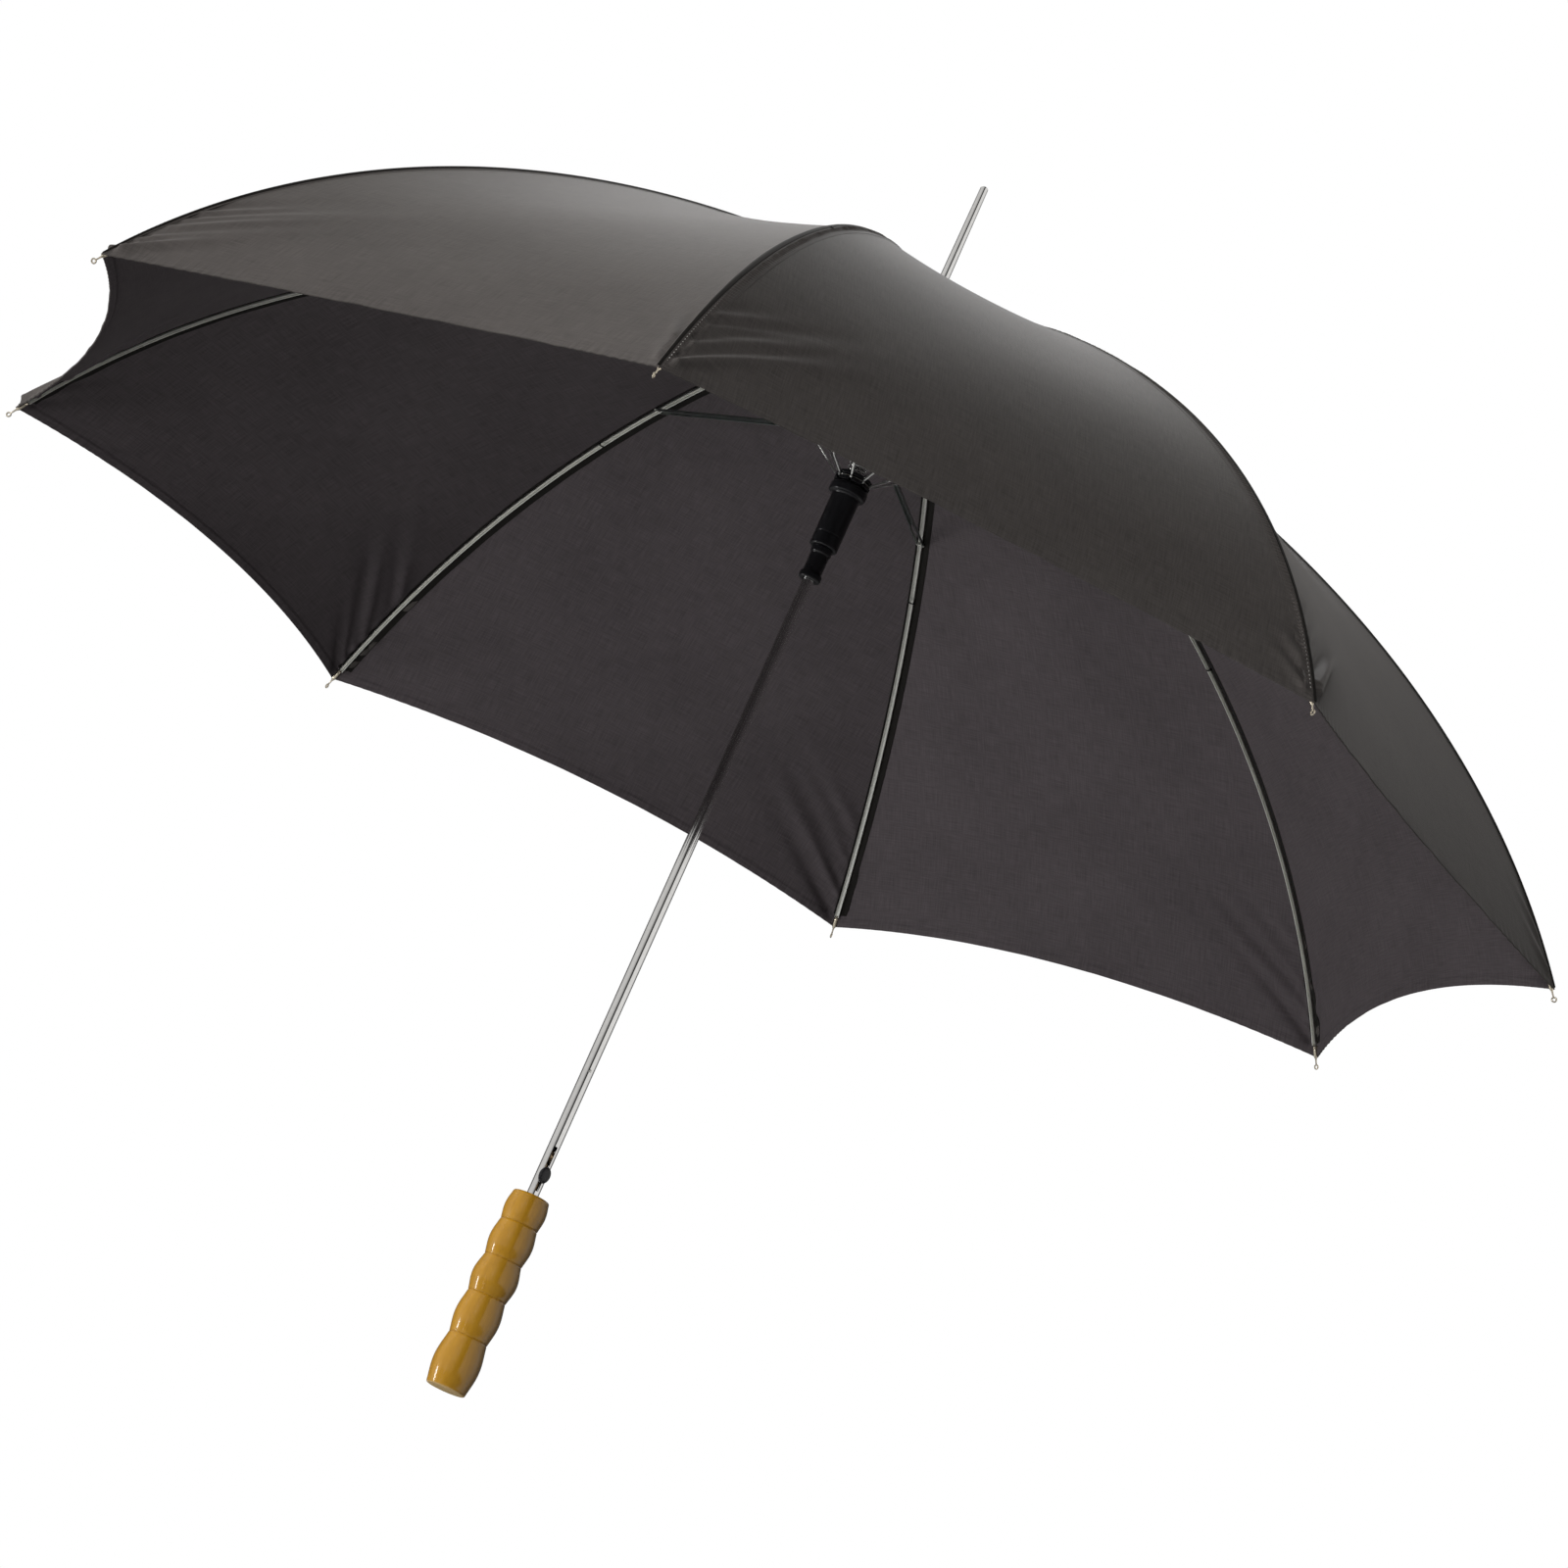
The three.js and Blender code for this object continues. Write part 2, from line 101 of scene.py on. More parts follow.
# ---------------------------------------------------------------- camera, floor and light
def make_camera():
    data = bpy.data.cameras.new("camera")
    data.lens = CAMERA_LENS
    data.sensor_width = 36
    camera = bpy.data.objects.new("camera", data)
    bpy.context.scene.collection.objects.link(camera)
    flat = math.cos(CAMERA_ELEVATION)
    out = Vector((
        math.sin(CAMERA_AZIMUTH) * flat,
        -math.cos(CAMERA_AZIMUTH) * flat,
        math.sin(CAMERA_ELEVATION),
    ))
    place = Matrix.Translation(CAMERA_AIM + out * CAMERA_DISTANCE)
    turn = out.to_track_quat("Z", "Y").to_matrix().to_4x4()
    camera.matrix_world = place @ turn @ Matrix.Rotation(CAMERA_ROLL, 4, "Z")
    bpy.context.scene.camera = camera


def area_light(name, place, aim, size, power, reflected=True):
    data = bpy.data.lights.new(name, "AREA")
    data.shape = "RECTANGLE"
    data.size, data.size_y = size
    data.energy = power
    light = bpy.data.objects.new(name, data)
    bpy.context.scene.collection.objects.link(light)
    light.location = place
    direction = Vector(place) - Vector(aim)
    light.rotation_euler = direction.to_track_quat("Z", "Y").to_euler()
    light.visible_camera = False
    light.visible_glossy = reflected


def studio_world():
    """White to the camera; reflections see a darker strip behind the camera, boards left and right of it."""
    world = bpy.data.worlds.new("studio")
    bpy.context.scene.world = world
    world.use_nodes = True
    tree = world.node_tree
    tree.nodes.clear()
    n = Nodes(tree)
    direction = n.put("ShaderNodeTexCoord").outputs["Generated"]
    parts = n.put("ShaderNodeSeparateXYZ")
    n.link(direction, parts.inputs[0])
    sides = n.dot(direction, (math.cos(CAMERA_AZIMUTH), math.sin(CAMERA_AZIMUTH), 0))
    away = n.dot(direction, (-math.sin(CAMERA_AZIMUTH), math.cos(CAMERA_AZIMUTH), 0))
    boards = n.greys(n.math("MULTIPLY_ADD", sides, 0.5, 0.5), BOARDS)
    edge = n.greys(away, [(0.15, 1.0), (0.60, 0.15)])
    high = n.greys(parts.outputs["Z"], [(0.32, 0.0), (0.50, 1.0)])
    path = n.put("ShaderNodeLightPath")
    amount = n.math("MULTIPLY_ADD", path.outputs["Is Glossy Ray"], 1 - ROOM_LIGHT, ROOM_LIGHT)
    shade = n.math("MULTIPLY", n.math("MULTIPLY", boards, n.math("MAXIMUM", edge, high)), amount)
    seen = n.put("ShaderNodeBackground")
    seen.inputs["Color"].default_value = (1, 1, 1, 1)
    seen.inputs["Strength"].default_value = 1.0
    room = n.put("ShaderNodeBackground")
    room.inputs["Color"].default_value = (1.0, 0.985, 0.97, 1)
    n.link(shade, room.inputs["Strength"])
    mix = n.put("ShaderNodeMixShader")
    n.link(path.outputs["Is Camera Ray"], mix.inputs[0])
    n.link(room.outputs[0], mix.inputs[1])
    n.link(seen.outputs[0], mix.inputs[2])
    n.link(mix.outputs[0], n.put("ShaderNodeOutputWorld").inputs["Surface"])


def make_floor():
    mesh = bpy.data.meshes.new("floor")
    half = FLOOR_HALF_SIZE
    corners = [(x, y, FLOOR_Z) for x, y in ((-half, -half), (half, -half), (half, half), (-half, half))]
    mesh.from_pydata(corners, [], [(0, 1, 2, 3)])
    floor = bpy.data.objects.new("floor", mesh)
    bpy.context.scene.collection.objects.link(floor)
    material, shader, n = new_material("floor")
    shader.inputs["Base Color"].default_value = (0.75, 0.75, 0.74, 1)
    shader.inputs["Roughness"].default_value = 0.9
    shader.inputs["Emission Color"].default_value = (1, 1, 1, 1)
    seen = n.put("ShaderNodeLightPath").outputs["Is Camera Ray"]
    n.link(n.math("MULTIPLY", seen, FLOOR_GLOW), shader.inputs["Emission Strength"])
    mesh.materials.append(material)


def make_studio():
    studio_world()
    make_floor()
    middle = (0, 0, 0.6)
    area_light("key", (-1.75, -2.75, -0.70), (0, 0, 0.45), (0.8, 0.8), 34, reflected=False)
    area_light("front", (-0.4, -3.2, 1.2), middle, (1.4, 1.4), 50, reflected=False)
    area_light("left", (-2.8, -0.6, 1.4), middle, (1.4, 1.4), 66, reflected=False)
    area_light("top", (-0.5, 1.6, 2.4), (0, 0, 0.7), (1.6, 1.6), 20)
    area_light("glint", (-2.86, -0.9, -0.6), (0, 0, 0.1), (0.35, 0.60), 14)
    bpy.context.scene.view_settings.view_transform = "Standard"
    bpy.context.scene.view_settings.look = "None"


# ---------------------------------------------------------------- materials
def new_material(name):
    material = bpy.data.materials.new(name)
    material.use_nodes = True
    tree = material.node_tree
    return material, tree.nodes["Principled BSDF"], Nodes(tree)


class Nodes:
    """Short forms for the nodes that the materials share."""

    def __init__(self, tree):
        self.tree = tree

    def put(self, kind, **settings):
        node = self.tree.nodes.new(kind)
        for key, value in settings.items():
            setattr(node, key, value)
        return node

    def link(self, start, end):
        self.tree.links.new(start, end)

    def coordinates(self, kind="Object", scale=(1, 1, 1)):
        source = self.put("ShaderNodeTexCoord")
        mapping = self.put("ShaderNodeMapping")
        mapping.inputs["Scale"].default_value = scale
        self.link(source.outputs[kind], mapping.inputs["Vector"])
        return mapping.outputs[0]

    def noise(self, vector, scale, detail=3.0, roughness=0.55):
        node = self.put("ShaderNodeTexNoise")
        node.inputs["Scale"].default_value = scale
        node.inputs["Detail"].default_value = detail
        node.inputs["Roughness"].default_value = roughness
        self.link(vector, node.inputs["Vector"])
        return node.outputs["Fac"]

    def math(self, operation, first, second=None, third=None):
        node = self.put("ShaderNodeMath", operation=operation)
        for socket, value in zip(node.inputs, (first, second, third)):
            if value is None:
                continue
            if isinstance(value, (int, float)):
                socket.default_value = value
            else:
                self.link(value, socket)
        return node.outputs[0]

    def ramp(self, value, stops):
        node = self.put("ShaderNodeValToRGB")
        ramp = node.color_ramp
        for _ in range(len(stops) - 2):
            ramp.elements.new(0.5)
        for element, (position, colour) in zip(ramp.elements, stops):
            element.position = position
            element.color = (*colour, 1)
        self.link(value, node.inputs["Fac"])
        return node.outputs["Color"]

    def dot(self, vector, axis):
        node = self.put("ShaderNodeVectorMath", operation="DOT_PRODUCT")
        self.link(vector, node.inputs[0])
        node.inputs[1].default_value = axis
        return node.outputs["Value"]

    def greys(self, value, stops):
        """Ramp through grey levels."""
        return self.ramp(value, [(place, (level, level, level)) for place, level in stops])

    def span(self, value, low, high):
        node = self.put("ShaderNodeMapRange")
        node.inputs["To Min"].default_value = low
        node.inputs["To Max"].default_value = high
        self.link(value, node.inputs["Value"])
        return node.outputs[0]

    def bump(self, height, strength, distance, below=None):
        node = self.put("ShaderNodeBump")
        node.inputs["Strength"].default_value = strength
        node.inputs["Distance"].default_value = distance
        self.link(height, node.inputs["Height"])
        if below is not None:
            self.link(below, node.inputs["Normal"])
        return node.outputs["Normal"]


def metal(name, colour, roughness, dull=0.12):
    """Plated metal with a few duller patches."""
    material, shader, n = new_material(name)
    lines = n.noise(n.coordinates(), 700, 2)
    patches = n.noise(n.coordinates(), 35, 4)
    shade = n.math("MULTIPLY", patches, 0.5)
    shade = n.math("ADD", shade, n.math("MULTIPLY", lines, 0.5))
    darker = tuple(c * 0.86 for c in colour)
    n.link(n.ramp(shade, [(0.3, darker), (0.62, colour)]), shader.inputs["Base Color"])
    shader.inputs["Metallic"].default_value = 1.0
    n.link(n.span(patches, roughness, roughness + dull), shader.inputs["Roughness"])
    return material


def plastic(name, colour, roughness):
    """Moulded plastic: fine grain, faint rubbing and a thin gloss."""
    material, shader, n = new_material(name)
    grain = n.noise(n.coordinates(), 1600, 2)
    rubs = n.noise(n.coordinates(scale=(1, 1, 0.2)), 120, 5, 0.7)
    lighter = tuple(c * 2.4 + 0.004 for c in colour)
    n.link(n.ramp(rubs, [(0.42, colour), (0.8, lighter)]), shader.inputs["Base Color"])
    n.link(n.span(rubs, roughness - 0.05, roughness + 0.15), shader.inputs["Roughness"])
    n.link(n.bump(grain, 0.15, 0.05 * MM), shader.inputs["Normal"])
    shader.inputs["Specular IOR Level"].default_value = 0.35
    shader.inputs["Coat Weight"].default_value = 0.12
    shader.inputs["Coat Roughness"].default_value = 0.1
    return material


def varnished_wood():
    """Yellow-brown stained wood with the grain along the handle, under clear varnish."""
    material, shader, n = new_material("varnished_wood")
    along = n.coordinates(scale=(1, 1, 0.06))
    grain = n.noise(along, 420, 6, 0.65)
    broad = n.noise(n.coordinates(scale=(1, 1, 0.15)), 60, 3)
    pores = n.noise(n.coordinates(scale=(1, 1, 0.03)), 1500, 2)
    mixed = n.math("ADD", n.math("MULTIPLY", grain, 0.55), n.math("MULTIPLY", broad, 0.45))
    stops = [(0.22, (0.29, 0.140, 0.008)), (0.5, (0.385, 0.192, 0.011)), (0.8, (0.44, 0.228, 0.018))]
    n.link(n.ramp(mixed, stops), shader.inputs["Base Color"])
    n.link(n.span(pores, 0.34, 0.5), shader.inputs["Roughness"])
    n.link(n.bump(pores, 0.03, 0.04 * MM), shader.inputs["Normal"])
    shader.inputs["Specular IOR Level"].default_value = 0.2
    shader.inputs["Coat Weight"].default_value = 0.9
    shader.inputs["Coat Roughness"].default_value = 0.11
    return material


def bare_wood():
    """Sawn end of the handle: paler, dull, with growth rings."""
    material, shader, n = new_material("bare_wood")
    rings = n.put("ShaderNodeTexWave", wave_type="RINGS", rings_direction="Z")
    rings.inputs["Scale"].default_value = 130
    rings.inputs["Distortion"].default_value = 3.0
    n.link(n.coordinates(), rings.inputs["Vector"])
    n.link(n.ramp(rings.outputs["Fac"], [(0.1, (0.50, 0.33, 0.13)), (0.9, (0.66, 0.47, 0.21))]),
           shader.inputs["Base Color"])
    shader.inputs["Roughness"].default_value = 0.55
    n.link(n.bump(rings.outputs["Fac"], 0.1, 0.1 * MM), shader.inputs["Normal"])
    return material


def woven_cloth(name, colour, sheen, roughness, gloss):
    """Tight black plain weave; the mesh's UV is in metres across and along the panel."""
    material, shader, n = new_material(name)
    uv = n.coordinates("UV")
    parts = n.put("ShaderNodeSeparateXYZ")
    n.link(uv, parts.inputs[0])
    pitch = 2 * math.pi / (0.62 * MM)
    warp = n.math("SINE", n.math("MULTIPLY", parts.outputs["X"], pitch))
    weft = n.math("SINE", n.math("MULTIPLY", parts.outputs["Y"], pitch))
    weave = n.math("MULTIPLY_ADD", n.math("MULTIPLY", warp, weft), 0.5, 0.5)
    slubs_along = n.noise(n.coordinates("UV", (1, 0.04, 1)), 1400, 2)
    slubs_across = n.noise(n.coordinates("UV", (0.04, 1, 1)), 1400, 2)
    slubs = n.math("ADD", n.math("MULTIPLY", slubs_along, 0.5), n.math("MULTIPLY", slubs_across, 0.5))
    tone = n.noise(n.coordinates("UV"), 9, 3)
    shade = n.math("ADD", n.math("MULTIPLY", slubs, 0.75), n.math("MULTIPLY", tone, 0.25))
    darker = tuple(c * 0.72 for c in colour)
    lighter = tuple(c * 1.3 for c in colour)
    n.link(n.ramp(shade, [(0.36, darker), (0.64, lighter)]), shader.inputs["Base Color"])
    shader.inputs["Roughness"].default_value = roughness
    shader.inputs["Specular IOR Level"].default_value = gloss
    shader.inputs["Sheen Weight"].default_value = sheen
    shader.inputs["Sheen Roughness"].default_value = 0.35
    shader.inputs["Sheen Tint"].default_value = (1.0, 0.96, 0.92, 1)
    threads = n.bump(weave, 0.25, 0.08 * MM)
    n.link(n.bump(slubs, 0.25, 0.12 * MM, threads), shader.inputs["Normal"])
    return material


def thread_material():
    material, shader, n = new_material("thread")
    twist = n.noise(n.coordinates(scale=(1, 1, 3)), 2500, 2)
    n.link(n.ramp(twist, [(0.3, (0.006, 0.006, 0.006)), (0.7, (0.02, 0.019, 0.018))]),
           shader.inputs["Base Color"])
    shader.inputs["Roughness"].default_value = 0.8
    n.link(n.bump(twist, 0.5, 0.1 * MM), shader.inputs["Normal"])
    return material


# ---------------------------------------------------------------- mesh helpers
def rib_azimuth(k):
    return FIRST_RIB_AZIMUTH - (k - 1) * 2 * HALF_PANEL


def turned_to(points, azimuth):
    """Points of a rib's own plane (x outward, y across, z up) turned to an azimuth."""
    points = np.asarray(points, float)
    c, s = math.cos(azimuth), math.sin(azimuth)
    out = points.copy()
    out[:, 0] = points[:, 0] * c - points[:, 1] * s
    out[:, 1] = points[:, 0] * s + points[:, 1] * c
    return out


def mesh_piece(name, points, faces, material, body, smooth=True):
    mesh = bpy.data.meshes.new(name)
    mesh.from_pydata([tuple(p) for p in points], [], [tuple(f) for f in faces])
    mesh.validate()
    mesh.materials.append(material)
    shape = bmesh.new()
    shape.from_mesh(mesh)
    bmesh.ops.recalc_face_normals(shape, faces=shape.faces)
    shape.to_mesh(mesh)
    shape.free()
    if smooth:
        mesh.shade_smooth()
    piece = bpy.data.objects.new(name, mesh)
    bpy.context.scene.collection.objects.link(piece)
    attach(piece, body)
    return piece


def mark_sharp(piece, degrees=35):
    """Keeps creases crisp on a smooth-shaded piece."""
    shape = bmesh.new()
    shape.from_mesh(piece.data)
    limit = math.radians(degrees)
    for edge in shape.edges:
        if len(edge.link_faces) == 2 and edge.calc_face_angle(0) > limit:
            edge.smooth = False
    shape.to_mesh(piece.data)
    shape.free()
    return piece


def bevelled(piece, width, segments=2):
    modifier = piece.modifiers.new("edges", "BEVEL")
    modifier.width = width
    modifier.segments = segments
    modifier.limit_method = "ANGLE"
    modifier.angle_limit = math.radians(40)
    modifier.harden_normals = False
    return piece


def turns(count):
    """Angles that part a full turn evenly."""
    return [2 * math.pi * i / count for i in range(count)]


def revolved(profile, segments):
    """Rings of points about the shaft's axis from (radius, z)."""
    angles = np.linspace(0, 2 * math.pi, segments, endpoint=False)
    return [(r * math.cos(a), r * math.sin(a), z) for r, z in profile for a in angles]


def ring_faces(rows, columns, closed_rows=False, cap=True):
    """Quads between rings of points; caps are single polygons."""
    faces = []
    last = rows if closed_rows else rows - 1
    for i in range(last):
        for j in range(columns):
            a = i * columns + j
            b = i * columns + (j + 1) % columns
            c = (i + 1) % rows * columns + (j + 1) % columns
            d = (i + 1) % rows * columns + j
            faces.append((a, b, c, d))
    if cap and not closed_rows:
        faces.append(tuple(range(columns - 1, -1, -1)))
        faces.append(tuple((rows - 1) * columns + j for j in range(columns)))
    return faces


def lathe_ring(name, profile, material, body, segments=64):
    """A body of revolution about the shaft's axis from a closed (radius, z) profile beside it."""
    faces = ring_faces(len(profile), segments, closed_rows=True)
    return mark_sharp(mesh_piece(name, revolved(profile, segments), faces, material, body))


def scaled(profile):
    return [(r * MM, z * MM) for r, z in profile]


def rounded(profile, radius, steps=3):
    """A closed or open (radius, z) profile whose corners are cut by small arcs."""
    out = [profile[0]]
    for before, here, after in zip(profile, profile[1:], profile[2:]):
        a, b, c = (np.array(p, float) for p in (before, here, after))
        reach = min(radius, np.linalg.norm(a - b) * 0.45, np.linalg.norm(c - b) * 0.45)
        start = b + (a - b) / max(np.linalg.norm(a - b), 1e-9) * reach
        end = b + (c - b) / max(np.linalg.norm(c - b), 1e-9) * reach
        for i in range(steps + 1):
            t = i / steps
            p = (1 - t) ** 2 * start + 2 * t * (1 - t) * b + t * t * end
            out.append((float(p[0]), float(p[1])))
    out.append(profile[-1])
    return out


def swept(section, line, widths=None):
    """Rings of points for a section (across, outward) carried along a line in a rib's plane."""
    line = np.asarray(line, float)
    along = np.gradient(line, axis=0)
    along /= np.linalg.norm(along, axis=1)[:, None]
    points = []
    for i, (p, t) in enumerate(zip(line, along)):
        scale = 1 if widths is None else widths[i]
        for across, outward in section:
            points.append((p[0] - t[1] * outward, across * scale, p[1] + t[0] * outward))
    return points


def tube_points(path, radius, sides=10, closed=False):
    """Rings round a path in space; the frame is carried along so that it doesn't twist."""
    path = np.asarray(path, float)
    if closed:
        along = np.roll(path, -1, axis=0) - np.roll(path, 1, axis=0)
    else:
        along = np.gradient(path, axis=0)
    along /= np.linalg.norm(along, axis=1)[:, None]
    side = np.cross(along[0], (0.3, 0.2, 0.93))
    points = []
    for p, t in zip(path, along):
        side = side - t * (side @ t)
        side /= np.linalg.norm(side)
        other = np.cross(t, side)
        for a in turns(sides):
            points.append(p + radius * (math.cos(a) * side + math.sin(a) * other))
    return points


def tube(name, path, radius, material, body, sides=10, closed=False):
    points = tube_points(path, radius, sides, closed)
    faces = ring_faces(len(path), sides, closed)
    return mesh_piece(name, points, faces, material, body)


def joined(name, parts, material, body):
    """One piece from several (points, faces) lists."""
    points, faces = [], []
    for more_points, more_faces in parts:
        shift = len(points)
        points.extend(tuple(p) for p in more_points)
        faces.extend(tuple(i + shift for i in face) for face in more_faces)
    return mesh_piece(name, points, faces, material, body)


def plate_part(outline, half_width):
    """A flat plate in the rib's plane from an outline of (x, z), as (points, faces)."""
    count = len(outline)
    points = [(x, -half_width, z) for x, z in outline] + [(x, half_width, z) for x, z in outline]
    faces = [tuple(range(count)), tuple(range(2 * count - 1, count - 1, -1))]
    for i in range(count):
        j = (i + 1) % count
        faces.append((i, j, j + count, i + count))
    return points, faces


def eye_outline(pivot, target, length, eye=0.0018, half=0.0010):
    """Outline of a flat tongue with a round end about a pivot, pointing at a target."""
    along = Vector((target[0] - pivot[0], target[1] - pivot[1])).normalized()
    side = Vector((-along.y, along.x))
    start = math.asin(half / eye)
    turns = [start + (2 * math.pi - 2 * start) * i / 14 for i in range(15)]
    local = [(eye * math.cos(a), eye * math.sin(a)) for a in turns] + [(length, -half), (length, half)]
    return [(pivot[0] + along.x * u + side.x * v, pivot[1] + along.y * u + side.y * v) for u, v in local]


# ---------------------------------------------------------------- frame lines
def rib_point(t):
    t = np.asarray(t, float)
    (x0, z0), (x1, z1), (x2, z2), (x3, z3) = RIB_CURVE
    a, b, c, d = (1 - t) ** 3, 3 * (1 - t) ** 2 * t, 3 * (1 - t) * t ** 2, t ** 3
    return np.stack([a * x0 + b * x1 + c * x2 + d * x3, a * z0 + b * z1 + c * z2 + d * z3], -1)


def rib_tangent(t):
    step = 1e-4
    t = np.asarray(t, float)
    d = rib_point(np.minimum(t + step, 1)) - rib_point(np.maximum(t - step, 0))
    return d / np.linalg.norm(d, axis=-1)[..., None]


RIB_SAMPLES = np.linspace(0, 1, 400)
RIB_ARC = np.concatenate([[0], np.cumsum(np.linalg.norm(np.diff(rib_point(RIB_SAMPLES), axis=0), axis=1))])
RIB_LENGTH = RIB_ARC[-1]


def curve_share(arc_share):
    """Curve parameter at a share of the rib's arc length."""
    return np.interp(np.asarray(arc_share) * RIB_LENGTH, RIB_ARC, RIB_SAMPLES)


RIB_JOINT = rib_point(RIB_JOINT_T)
UPPER_PIVOT = np.array((PIVOT_RADIUS, UPPER_RUNNER_Z))
LOWER_PIVOT = np.array((PIVOT_RADIUS, LOWER_RUNNER_Z))
STRETCHER_LENGTH = float(np.linalg.norm(RIB_JOINT - UPPER_PIVOT))
STRETCHER_ALONG = (RIB_JOINT - UPPER_PIVOT) / STRETCHER_LENGTH
LINK_END = UPPER_PIVOT + STRETCHER_ALONG * LINK_REACH + np.array((0, -0.5 * MM))
JOINT_ARC = float(np.interp(RIB_JOINT_T, RIB_SAMPLES, RIB_ARC))


# ---------------------------------------------------------------- ribs, stretchers and links
def channel_section(width, depth, wall):
    """U section with its web outward and rounded outer corners: (across, outward)."""
    w, d = width / 2, depth / 2
    corner = wall * 0.8
    arc = [math.radians(a) for a in (0, 30, 60, 90)]
    right = [(w - corner + corner * math.cos(a), d - corner + corner * math.sin(a)) for a in arc]
    left = [(-x, y) for x, y in reversed(right)]
    lip = wall * 0.35
    return [(w - lip, -d), (w, -d + lip), *right, *left, (-w, -d + lip), (-w + lip, -d),
            (-w + wall, -d + lip), (-w + wall, d - wall), (w - wall, d - wall), (w - wall, -d + lip)]


def make_rib(k, material):
    """Steel channel along the rib's curve, pinched either side of the stretcher's pin."""
    shares = np.linspace(0.018, 0.986, 150)
    line = rib_point(curve_share(shares))
    distance = shares * RIB_LENGTH - JOINT_ARC
    pinch = np.exp(-((np.abs(distance) - 0.0075) / 0.0016) ** 2)
    widths = 1 - 0.22 * pinch
    section = channel_section(RIB_WIDTH, RIB_DEPTH, 0.5 * MM)
    channel = (swept(section, line, widths), ring_faces(len(line), len(section)))
    tongue = plate_part(eye_outline(rib_point(0), rib_point(0.03), 0.013), 0.6 * MM)
    turned = [(turned_to(points, rib_azimuth(k)), faces) for points, faces in (channel, tongue)]
    piece = joined(f"rib_steel_{k}", turned, material, f"rib_body_{k}")
    mark_sharp(piece, 50)
    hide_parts(f"rib_{k}")


def pin_part(centre, radius, half_length, dome, sides=14):
    """A pin across the rib's plane at (x, z), with domed ends."""
    rings = [(-half_length - dome, radius * 0.5), (-half_length - dome * 0.6, radius * 0.85),
             (-half_length, radius), (half_length, radius),
             (half_length + dome * 0.6, radius * 0.85), (half_length + dome, radius * 0.5)]
    points = []
    for y, r in rings:
        for a in turns(sides):
            points.append((centre[0] + r * math.cos(a), y, centre[1] + r * math.sin(a)))
    return points, ring_faces(len(rings), sides)


def make_joint_pin(k, material):
    points, faces = pin_part(RIB_JOINT - np.array((0, 0.2 * MM)), 0.75 * MM, 2.6 * MM, 0.35 * MM)
    turned = turned_to(points, rib_azimuth(k))
    mesh_piece(f"joint_pin_{k}", turned, faces, material, f"rib_body_{k}")


def make_rib_tip(k, material):
    """Pressed cap on the rib's end that runs out into a wire with a small ring."""
    end = rib_point(1.0)
    along = rib_tangent(1.0)
    outward = np.array((-along[1], along[0]))
    place = lambda u, v: end + along * u + outward * v
    stations = [(-8.2, 0.9), (-7.6, 1.35), (-5, 1.45), (-1.2, 1.4),
                (-0.2, 1.05), (0.6, 0.62), (2.6, 0.5), (4.2, 0.5)]
    cap_points = []
    sides = 14
    for u, r in stations:
        p = place(u * MM, 0)
        for a in turns(sides):
            offset = outward * math.cos(a) * r * MM
            cap_points.append((p[0] + offset[0], math.sin(a) * r * MM, p[1] + offset[1]))
    ring_path = []
    for a in turns(20):
        p = place((6.0 + 1.35 * math.cos(a)) * MM, 1.35 * math.sin(a) * MM)
        ring_path.append((p[0], 0, p[1]))
    eye_points = tube_points(ring_path, 0.5 * MM, 8, closed=True)
    piece = joined(f"rib_end_{k}", [
        (turned_to(cap_points, rib_azimuth(k)), ring_faces(len(stations), sides)),
        (turned_to(eye_points, rib_azimuth(k)), ring_faces(20, 8, closed_rows=True)),
    ], material, f"rib_body_{k}")
    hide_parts(f"rib_tip_{k}")


def make_stretcher(k, material):
    """U-section bar, open downward, that ends in two tines either side of the rib."""
    fork = 0.044
    length = STRETCHER_LENGTH
    normal = np.array((-STRETCHER_ALONG[1], STRETCHER_ALONG[0]))
    at = lambda u, v=0.0: UPPER_PIVOT + STRETCHER_ALONG * u + normal * v
    stations = np.linspace(0.0115, length - fork, 24)
    line = [at(u) for u in stations]
    section = channel_section(3.8 * MM, 2.4 * MM, 0.5 * MM)
    bar = (swept(section, line), ring_faces(len(line), len(section)))
    parts = [bar, plate_part(eye_outline(UPPER_PIVOT, RIB_JOINT, 0.014), 0.6 * MM)]
    for side in (-1, 1):
        tine_points = []
        rings = np.concatenate([np.linspace(length - fork - 0.006, length - fork + 0.006, 6),
                                np.linspace(length - fork + 0.012, length + 0.0004, 8), [length + 0.0014]])
        for u in rings:
            flare = np.clip((u - (length - fork - 0.004)) / 0.008, 0, 1)
            y = (1.65 + 0.57 * flare * flare * (3 - 2 * flare)) * MM
            round_end = 1.0 if u < length else 0.55
            for dy, dz in ((-0.26, -1.15), (0.26, -1.15), (0.3, -0.5), (0.26, 0.62), (-0.26, 0.62)):
                p = at(u, dz * MM * round_end)
                tine_points.append((p[0], side * (y + dy * MM), p[1]))
        parts.append((tine_points, ring_faces(len(rings), 5)))
    turned = [(turned_to(points, rib_azimuth(k)), faces) for points, faces in parts]
    piece = joined(f"stretcher_steel_{k}", turned, material, f"stretcher_body_{k}")
    mark_sharp(piece, 50)
    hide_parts(f"stretcher_{k}")


